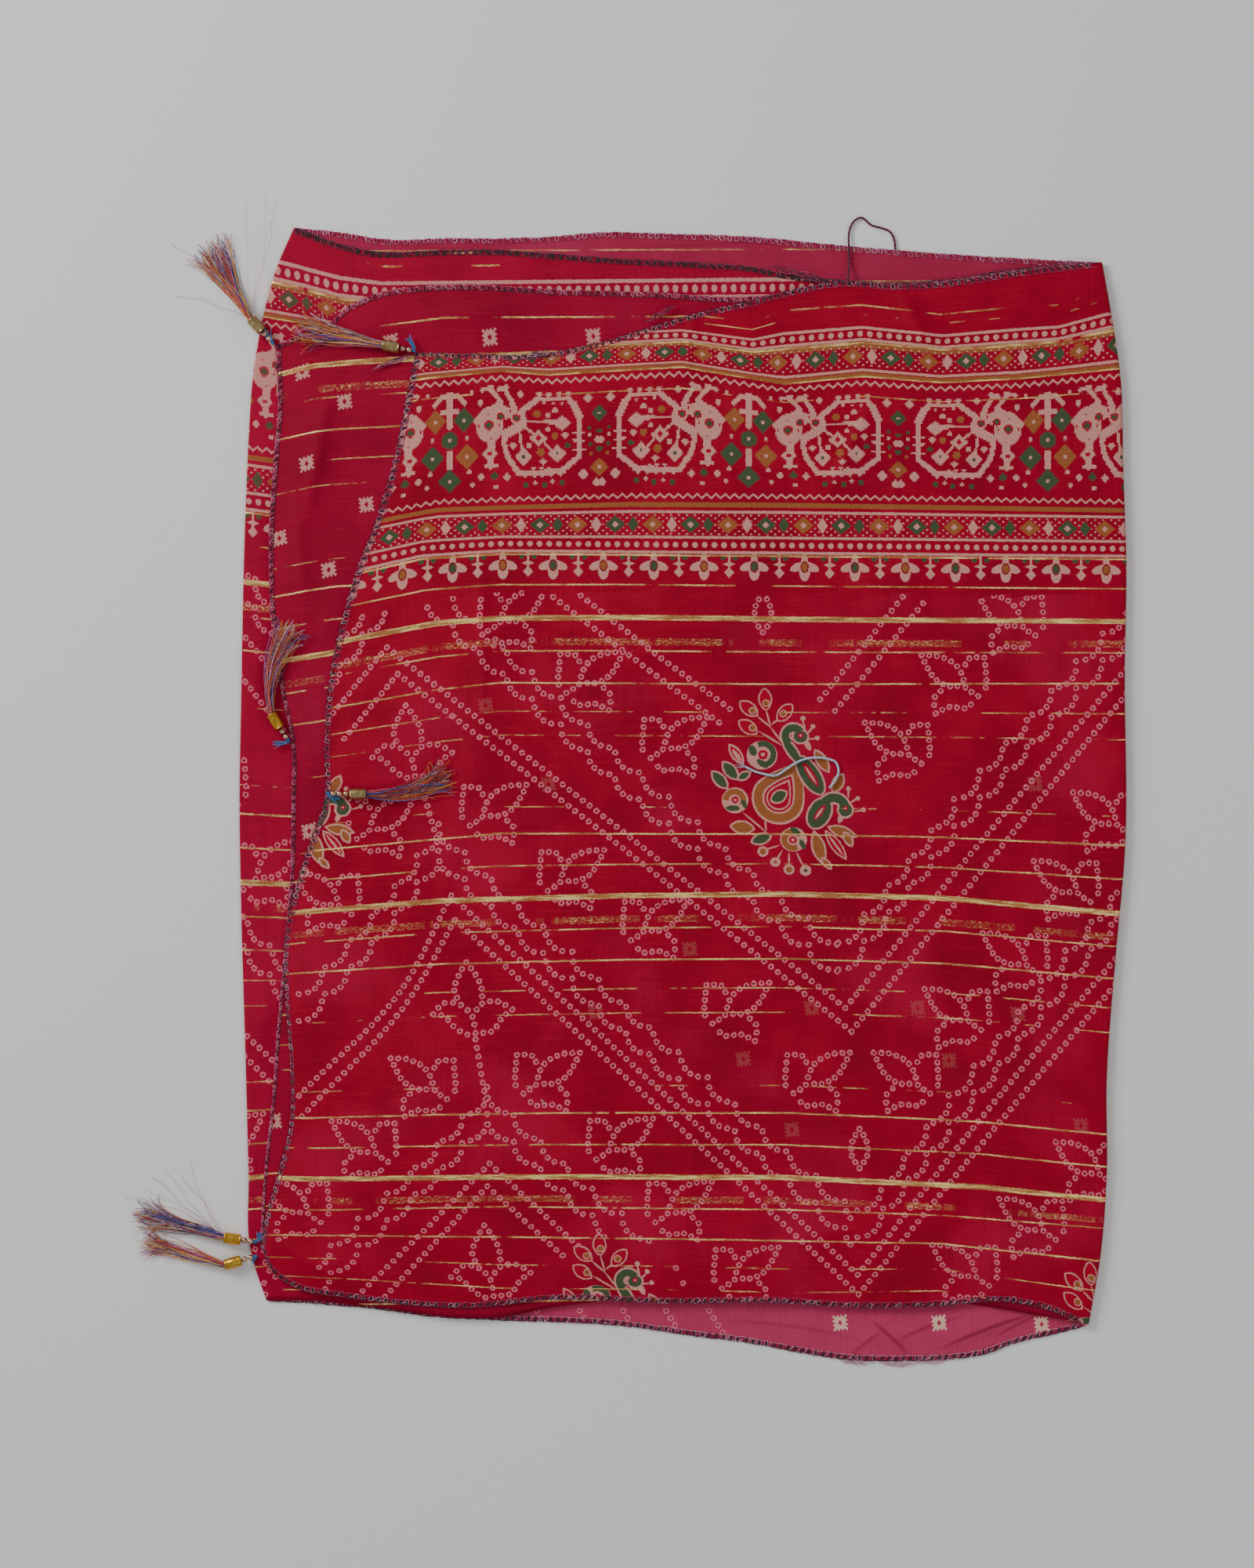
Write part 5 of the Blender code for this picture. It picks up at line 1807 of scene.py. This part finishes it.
def strides(turn: np.ndarray, fall: float, long: float) -> np.ndarray:
    """The places of a short thread from its own start.

    Args:
        turn: Its heading at each step, in radians.
        fall: How far it rises with each step, as a share of the step.
        long: Its length.

    Returns:
        One place for each step.
    """
    count = len(turn)
    steps = np.stack([np.cos(turn), np.sin(turn), np.full(count, fall)], 1) * long / count
    return np.cumsum(steps, axis=0)


@dataclass(frozen=True)
class Tassel:
    """One tassel: place, headings in degrees, lengths and heights in millimetres."""

    name: str
    x: float
    y: float
    heading: float
    balls: int
    tuft_heading: float
    bend: float
    length: float
    spread: float
    tie_z: float
    ball_z: float
    barrel_z: float
    rest_z: float
    metal: str
    tie_heading: float      # where the knot's loose ends point, in degrees
    tie_long: float
    strays: tuple = ()

    BALL = 2.0              # radius of a ball
    GAP = 0.3               # between two beads
    FIRST_BALL = 4.4        # from the cloth's corner to the first ball's middle
    BARREL = 3.8            # radius of the barrel
    BARREL_LONG = 11.0
    BORE = 2.3              # radius within which the threads leave the barrel
    TIE_STRANDS = 4
    TIE_LOOPS = 5
    TIE_ENDS = 9
    TUFT_THREADS = 84
    TUFT_STEPS = 11
    TUFT_COLOURS = ("blue", "lilac", "purple", "red", "orange", "yellow", "white", "rose",
                    "orange", "red", "yellow", "grey", "purple", "orange")

    def string(self) -> tuple[list[np.ndarray], np.ndarray]:
        """The centres of the balls, and the near end of the barrel."""
        ahead = direction(self.heading)
        pitch = 2 * self.BALL + self.GAP
        step = (self.barrel_z - self.ball_z) / (self.balls + 1)
        corner = np.array((self.x, self.y, 0.0))
        balls = [
            corner + ahead * (self.FIRST_BALL + k * pitch) + (0, 0, self.ball_z + k * step)
            for k in range(self.balls)
        ]
        along = self.FIRST_BALL + self.balls * pitch - self.BALL
        return balls, corner + ahead * along + (0, 0, self.barrel_z)

    def turned(self, name: str, profile: Sequence[Pair], start: np.ndarray,
               metal: bpy.types.Material) -> bpy.types.Object:
        """A metal bead turned about the tassel's heading.

        Args:
            name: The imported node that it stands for.
            profile: Radius and distance along, in millimetres, as one closed outline.
            start: Where distance 0 lies.
            metal: Its material.

        Returns:
            The bead.
        """
        bm = bmesh.new()
        verts = [bm.verts.new((radius, 0, along)) for radius, along in profile]
        edges = [bm.edges.new(pair) for pair in zip(verts, verts[1:] + verts[:1])]
        bmesh.ops.spin(
            bm, geom=verts + edges, cent=(0, 0, 0), axis=(0, 0, 1), angle=2 * math.pi,
            steps=28, use_merge=True,
        )
        bmesh.ops.recalc_face_normals(bm, faces=bm.faces)
        turn = Vector(direction(self.heading)).to_track_quat("Z", "Y").to_matrix().to_4x4()
        place = Vector(in_part(start))
        scaled = Matrix.Diagonal((MM, MM, MM, 1))
        bm.transform(Matrix.Translation(place) @ turn @ scaled)
        made = bpy.data.meshes.new(name)
        bm.to_mesh(made)
        bm.free()
        made.materials.append(metal)
        made.shade_smooth()
        made.set_sharp_from_angle(angle=math.radians(42))
        return put(made, name.replace("ball", "bead"), "gold_bead", [name])

    def beads(self, palette: Palette) -> None:
        """The balls and the barrel."""
        balls, start = self.string()
        arc = [
            (self.BALL * math.cos(a), self.BALL * math.sin(a))
            for a in np.radians(np.linspace(-72, 72, 13))
        ]
        ball = arc + [(0.42, 1.6), (0.42, -1.6)]
        for k, centre in enumerate(balls):
            self.turned(f"ball_{self.name}_{k + 1}", ball, centre, palette.get("ball"))
        long, wide = self.BARREL_LONG, self.BARREL
        barrel = [
            (0.7, 0.25), (1.6, 0.0), (2.8, 0.0), (3.3, 0.15), (3.55, 0.5), (3.4, 0.9),
            (3.5, 1.15), (wide, 1.45), (wide, 2.1), (3.55, 2.35), (3.62, 3.0), (3.72, 4.3),
            (3.76, 5.5), (3.72, 6.7), (3.62, 8.0), (3.55, 8.65), (wide, 8.9), (wide, 9.55),
            (3.5, 9.85), (3.5, 10.3), (3.72, 10.5), (3.74, long - 0.2), (3.6, long),
            (3.15, long), (3.0, long - 0.2), (3.0, long - 3.6), (0.7, long - 3.6),
        ]
        made = self.turned(f"barrel_{self.name}", barrel, start, palette.get(self.metal))
        made.name = f"spun_{self.name}"

    def tie(self, palette: Palette) -> None:
        """Blue threads that loop through the cloth and hold the first ball."""
        rng = np.random.default_rng(int(abs(self.x) + abs(self.y)))
        bundle = Threads(f"knotted_{self.name}", palette)
        ahead = direction(self.heading)
        across = sideways(ahead)
        corner = np.array((self.x, self.y, self.tie_z))
        end = self.string()[0][0] - ahead * self.BALL
        share = np.linspace(0, 1, 14)[:, None]
        for k in range(self.TIE_STRANDS):
            turn = share * 5.2 + k * math.pi / 2
            twist = 0.46 * (across * np.cos(turn) + UP * np.sin(turn))
            bundle.add(corner + (end - corner) * share + twist, 0.34, "tie")
        for _ in range(self.TIE_LOOPS):
            angle = np.linspace(-0.6, 4.6, 14)[:, None] + rng.uniform(-0.5, 0.5)
            radius = rng.uniform(0.75, 1.15)
            middle = corner + (end - corner) * rng.uniform(0.1, 0.9)
            loop = middle + radius * (across * np.cos(angle) + 0.8 * UP * np.sin(angle))
            bundle.add(loop + ahead * np.linspace(-0.5, 0.5, 14)[:, None], 0.3, "tie")
        for k in range(self.TIE_ENDS):
            heading = self.tie_heading + rng.normal(0, 7)
            turn = np.radians(heading + np.linspace(0, rng.normal(0, 16), 7))
            loose = strides(turn, -0.06, self.tie_long * rng.uniform(0.75, 1.05))
            lift = (0, 0, 1.0 + 0.25 * (k % 4))
            side = direction(self.tie_heading + 90) * rng.uniform(-0.9, 0.9)
            bundle.add(corner + lift + side + loose, 0.3, "tie", 0.7)
        bundle.put("blue_tie", [f"tie_{self.name}"])

    def thread(self, rng: np.random.Generator, root: np.ndarray, side: float, length: float,
               layer: float) -> np.ndarray:
        """One thread of the tuft, from inside the barrel's mouth.

        Args:
            rng: The tassel's own random numbers.
            root: Where it leaves the mouth.
            side: From -1 at the right edge of the tuft to 1 at the left.
            length: Its free length.
            layer: Height over the rest level where it comes to lie.

        Returns:
            Its points.
        """
        share = np.linspace(0, 1, self.TUFT_STEPS)
        kink = rng.normal(0, 5.0) * np.sin(share * rng.uniform(3, 8) + rng.uniform(0, 6))
        kink = kink + rng.normal(0, 26) * share ** 5
        turn = (self.tuft_heading + self.bend * share
                + side * self.spread * np.minimum(1, 2 * share) + kink)
        stride = np.stack([np.cos(np.radians(turn)), np.sin(np.radians(turn)), 0 * turn], 1)
        path = root + np.cumsum(stride * length / self.TUFT_STEPS, axis=0)
        sink = np.clip(1.6 * share, 0, 1)
        sink = sink * sink * (3 - 2 * sink)
        path[:, 2] = root[2] * (1 - sink) + (self.rest_z + layer) * sink
        inside = root - direction(self.heading) * 3.0
        return np.vstack([inside, root, path])

    def tuft(self, palette: Palette) -> None:
        """Many fine threads of several colours."""
        rng = np.random.default_rng(int(abs(self.x * 3) + abs(self.y)))
        bundle = Threads(f"fringe_{self.name}", palette)
        ahead = direction(self.heading)
        mouth = self.string()[1] + ahead * self.BARREL_LONG
        across = sideways(ahead)
        for _ in range(self.TUFT_THREADS):
            angle, reach = rng.uniform(0, 2 * math.pi), self.BORE * math.sqrt(rng.uniform(0, 1))
            spot = across * math.cos(angle) * reach + UP * math.sin(angle) * reach
            side = math.cos(angle) * reach / self.BORE + rng.normal(0, 0.25)
            long = self.length * np.clip(rng.normal(0.96, 0.07), 0.75, 1.06)
            layer = 0.3 + (math.sin(angle) * reach / self.BORE + 1) * 1.15
            path = self.thread(rng, mouth + spot, np.clip(side, -1.15, 1.15), long, layer)
            colour = self.TUFT_COLOURS[int(rng.integers(len(self.TUFT_COLOURS)))]
            bundle.add(path, rng.uniform(0.2, 0.33), colour, 0.6)
        for x, y, colour in self.strays:
            share = np.linspace(0, 1, 22)[:, None]
            tip = np.array((x, y, self.rest_z + 0.4))
            middle = (mouth + tip) / 2 + across * rng.uniform(-14, 14)
            path = (1 - share) ** 2 * mouth + 2 * share * (1 - share) * middle + share ** 2 * tip
            curl = 1.6 * np.sin(share * rng.uniform(9, 16) + rng.uniform(0, 6)) * share
            path = path + across * curl
            path[:, 2] = np.maximum(path[:, 2], 0.3)
            bundle.add(path, 0.16, colour, 0.6)
        bundle.put("mixed_thread", [f"tuft_{self.name}"])

    def build(self, palette: Palette) -> None:
        """Makes the whole tassel."""
        self.beads(palette)
        self.tie(palette)
        self.tuft(palette)


# Each row: name, place, heading, balls, tuft heading, bend, length and spread, heights of tie,
# ball, barrel and rest, metal, heading and length of the knot's ends, and stray threads
TASSELS = tuple(Tassel(*row) for row in (
    ("inner_top", -234, 290, 133, 2, 124, -6, 58, 20, 5.6, 5.8, 7.0, 0.2, "brass", 128, 14,
     ((-233, 384, "rose"), (-299, 323, "purple"), (-241, 388, "white"), (-302, 358, "red"),
      (-288, 345, "blue"), (-252, 385, "yellow"), (-236, 372, "rose"))),
    ("front_top", -140, 285, 170, 2, 168, 4, 58, 14, 7.2, 7.4, 8.6, 4.9, "brass", 118, 11),
    ("inner_middle", -223.8, 26, 122, 2, 100, -48, 62, 11, 4.4, 5.2, 6.9, 6.1, "gold", 184, 11),
    ("front_middle", -199, -8, 0, 3, -4, 34, 58, 10, 7.2, 8.4, 10.3, 6.5, "brass", -28, 10),
    ("inner_bottom", -245, -305, 172, 2, 165, 0, 60, 7, 4.0, 4.9, 4.2, 0.2, "gold", 66, 7,
     ((-306, -257, "rose"), (-315, -262, "purple"), (-290, -253, "red"), (-322, -268, "white"),
      (-297, -262, "rose"), (-333, -276, "red"))),
    ("front_bottom", -245, -314, 196, 2, 164, 2, 56, 3, 4.0, 4.9, 4.2, 0.2, "gold", 228, 6),
))


@dataclass(frozen=True)
class LooseCord:
    """A loose sewing thread twisted from several plies, along a route in millimetres."""

    name: str
    node: str
    slot: str
    route: tuple
    radius: float
    plies: tuple
    twist: float            # millimetres for one turn
    far_end: str
    frays: tuple = ()

    STEP = 0.55             # millimetres between two points of a ply
    CORE = 0.85             # radius of the core, as a share of the cord's
    PLY_OUT = 0.62          # how far out the plies run, as a share
    PLY = 0.42              # radius of a ply, as a share

    def build(self, palette: Palette) -> None:
        """Makes the cord, its plies and its frayed end."""
        line = Route(self.route).at(np.linspace(0, 1, 4 * (len(self.route) - 1) + 1))
        core = Threads(self.name, palette, 1)
        core.add(line, self.radius * self.CORE, self.plies[0])
        cord = core.put(self.slot, [self.node])
        line = Route(tuple(map(tuple, line))).evenly(self.STEP)
        ahead = headings(line)
        side = np.stack([-ahead[:, 1], ahead[:, 0], 0 * ahead[:, 0]], axis=1)
        side /= np.linalg.norm(side, axis=1)[:, None]
        up = np.cross(side, ahead)
        station = np.arange(len(line)) * self.STEP
        bundle = Threads(f"{self.name}_plies", palette)
        for k, ply in enumerate(self.plies):
            turn = station * 2 * math.pi / self.twist + 2 * math.pi * k / len(self.plies)
            offset = side * np.cos(turn)[:, None] + up * np.sin(turn)[:, None]
            bundle.add(line + offset * self.radius * self.PLY_OUT, self.radius * self.PLY, ply)
        rng = np.random.default_rng(len(self.name))
        for angle, long, ply in self.frays:
            turn = np.radians(angle + np.linspace(0, rng.uniform(-40, 40), 7))
            bundle.add(line[-1] + strides(turn, -0.03, long), 0.14, ply, 0.5)
        plies = bundle.put(self.slot)
        tuple(in_part(line[0]))


LOOSE_CORDS = (
    LooseCord("sewing_chain", "loose_chain", "chain_thread", (
        (146, 329.5, 7.3), (146, 333, 7.0), (147, 338, 4.6), (147, 344, 2.6), (147, 351, 2.3),
        (147, 357, 2.4), (147, 362, 1.6), (148, 367, 1.2), (151, 372, 1.1), (155, 374, 1.1),
        (162, 369, 1.1), (169, 367, 1.1), (174, 365, 1.1), (177, 360, 1.1), (178, 353, 1.1),
    ), 0.8, ("hem_dark", "hem_pink", "hem_dark"), 3.0, "object"),
    LooseCord("fallen_thread", "pale_thread", "pale_thread", (
        (134, -4, 7.3), (138, 1, 7.3), (140, 8, 7.3), (138, 13, 7.3), (133, 15, 7.3),
        (126, 16, 7.3), (118, 15, 7.3), (111, 12, 7.3), (105, 8, 7.3), (98, 4, 7.3),
        (91, 5, 7.3), (84, 7, 7.3), (78, 10, 7.3),
    ), 0.85, ("pale", "pale", "pale"), 3.2, "bare", (
        (140, 6, "pale"), (160, 8, "pale"), (175, 7, "pale"), (120, 5, "pale"),
        (200, 6, "pale"), (185, 4, "pale"),
    )),
)


@dataclass(frozen=True)
class Tangle:
    """Loose sewing ends: a curly run of fine threads between two places of the picture."""

    name: str
    start: Pair
    end: Pair
    z: float
    spread: float           # millimetres to either side
    count: int
    radius: float
    colours: tuple

    def build(self, palette: Palette) -> None:
        """Makes the threads as one piece."""
        rng = np.random.default_rng(int(sum(self.start)))
        bundle = Threads(self.name, palette)
        first, last = from_picture([self.start, self.end])
        ahead = last - first
        across = np.array((-ahead[1], ahead[0])) / np.linalg.norm(ahead)
        for n in range(self.count):
            share = np.linspace(rng.uniform(0, 0.35), rng.uniform(0.65, 1), 26)
            sway = np.sin(share * rng.uniform(5, 15) + rng.uniform(0, 6)) * self.spread
            sway = sway * np.sin(math.pi * share) ** 0.6 * rng.uniform(0.3, 1)
            plan = first + ahead * share[:, None] + across * sway[:, None]
            lift = self.z + 0.5 * np.abs(np.sin(share * rng.uniform(4, 12)))
            bundle.add(np.c_[plan, lift], self.radius, self.colours[n % len(self.colours)], 0.7)
        bundle.put("chain_thread")


TANGLES = (
    Tangle("tail_front_top", (532, 451), (474, 473), 5.6, 2.0, 9, 0.26,
           ("hem_dark", "hem_white", "hem_pink")),
    Tangle("tangle_top", (984, 341), (1066, 363), 3.4, 3.0, 8, 0.3, ("hem_dark", "hem_pink")),
    Tangle("knot_left", (672, 456), (706, 449), 6.4, 2.6, 9, 0.24, ("hem_white", "hem_dark")),
    Tangle("knot_middle", (822, 412), (862, 392), 6.6, 2.4, 8, 0.24, ("hem_dark", "hem_pink")),
    Tangle("ragged_left", (1070, 1736), (1118, 1738), 0.25, 2.6, 16, 0.14,
           ("hem_white", "white")),
    Tangle("ragged_middle", (1120, 1738), (1172, 1741), 0.25, 2.2, 14, 0.14,
           ("hem_white", "white")),
    Tangle("ragged_right", (1168, 1738), (1216, 1732), 0.25, 2.8, 16, 0.14,
           ("hem_white", "white")),
    Tangle("lint_left", (690, 1401), (697, 1409), 5.9, 0.8, 4, 0.12, ("white",)),
)


class Studio:
    """The camera straight above, the pale floor and the soft lights."""

    LENS = 100
    SENSOR = 36
    HIGH = 2.889            # metres from the floor to the camera
    SHIFT = 0.00156         # metres that the picture's middle lies below the tables' origin
    FLOOR_HALF = 2.5
    FLOOR_Z = -0.0002

    def camera(self) -> None:
        """Looks straight down on the middle of the picture."""
        data = bpy.data.cameras.new("camera")
        data.lens = self.LENS
        data.sensor_fit = "VERTICAL"
        data.sensor_width = data.sensor_height = self.SENSOR
        made = bpy.data.objects.new("camera", data)
        made.location = (-ORIGIN[0] * MM, -ORIGIN[1] * MM - self.SHIFT, self.HIGH)
        bpy.context.scene.collection.objects.link(made)
        bpy.context.scene.camera = made

    def light(self, name: str, place: Sequence[float], size: float, power: float) -> None:
        """One square soft light aimed at the scarf."""
        data = bpy.data.lights.new(name, "AREA")
        data.size = size
        data.energy = power
        made = bpy.data.objects.new(name, data)
        made.location = place
        made.rotation_euler = (-Vector(place)).to_track_quat("-Z", "Y").to_euler()
        bpy.context.scene.collection.objects.link(made)

    def build(self) -> None:
        """Sets the stage."""
        bm = bmesh.new()
        bmesh.ops.create_grid(bm, x_segments=1, y_segments=1, size=self.FLOOR_HALF)
        data = bpy.data.meshes.new("floor")
        bm.to_mesh(data)
        bm.free()
        recipe = Recipe("pale_floor")
        data.materials.append(recipe.dress(Base_Color=linear(226, 224, 224), Roughness=0.85))
        floor = bpy.data.objects.new("floor", data)
        floor.location.z = self.FLOOR_Z
        bpy.context.scene.collection.objects.link(floor)
        self.light("key", (-2.0, 1.5, 1.5), 1.2, 68)
        self.light("fill", (1.6, -0.8, 2.2), 2.0, 16)
        world = bpy.data.worlds.new("studio")
        world.use_nodes = True
        sky = world.node_tree.nodes["Background"].inputs
        sky["Color"].default_value = (1, 1, 1, 1)
        sky["Strength"].default_value = 0.42
        bpy.context.scene.world = world


class Scarf:
    """The whole piece: four stretches, sewing, tassels and loose threads."""

    def __init__(self) -> None:
        """Starts with an empty palette."""
        self.palette = Palette()

    def build(self) -> None:
        """Builds every piece in order."""
        cloths = [Cloth(stretch) for stretch in STRETCHES]
        for cord in LOOSE_CORDS:
            cord.build(self.palette)
        for cloth in cloths:
            cloth.build()
        for sewing in OVERLOCKS:
            sewing.build(cloths[sewing.stretch], self.palette)
        for tangle in TANGLES:
            tangle.build(self.palette)
        for tassel in TASSELS:
            tassel.build(self.palette)


def main() -> None:
    """Builds the studio and the scarf."""
    logging.basicConfig(level=logging.INFO, format="%(name)s: %(message)s")
    studio = Studio()
    studio.camera()
    Scarf().build()
    studio.build()
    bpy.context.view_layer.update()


if __name__ == "__main__":
    main()
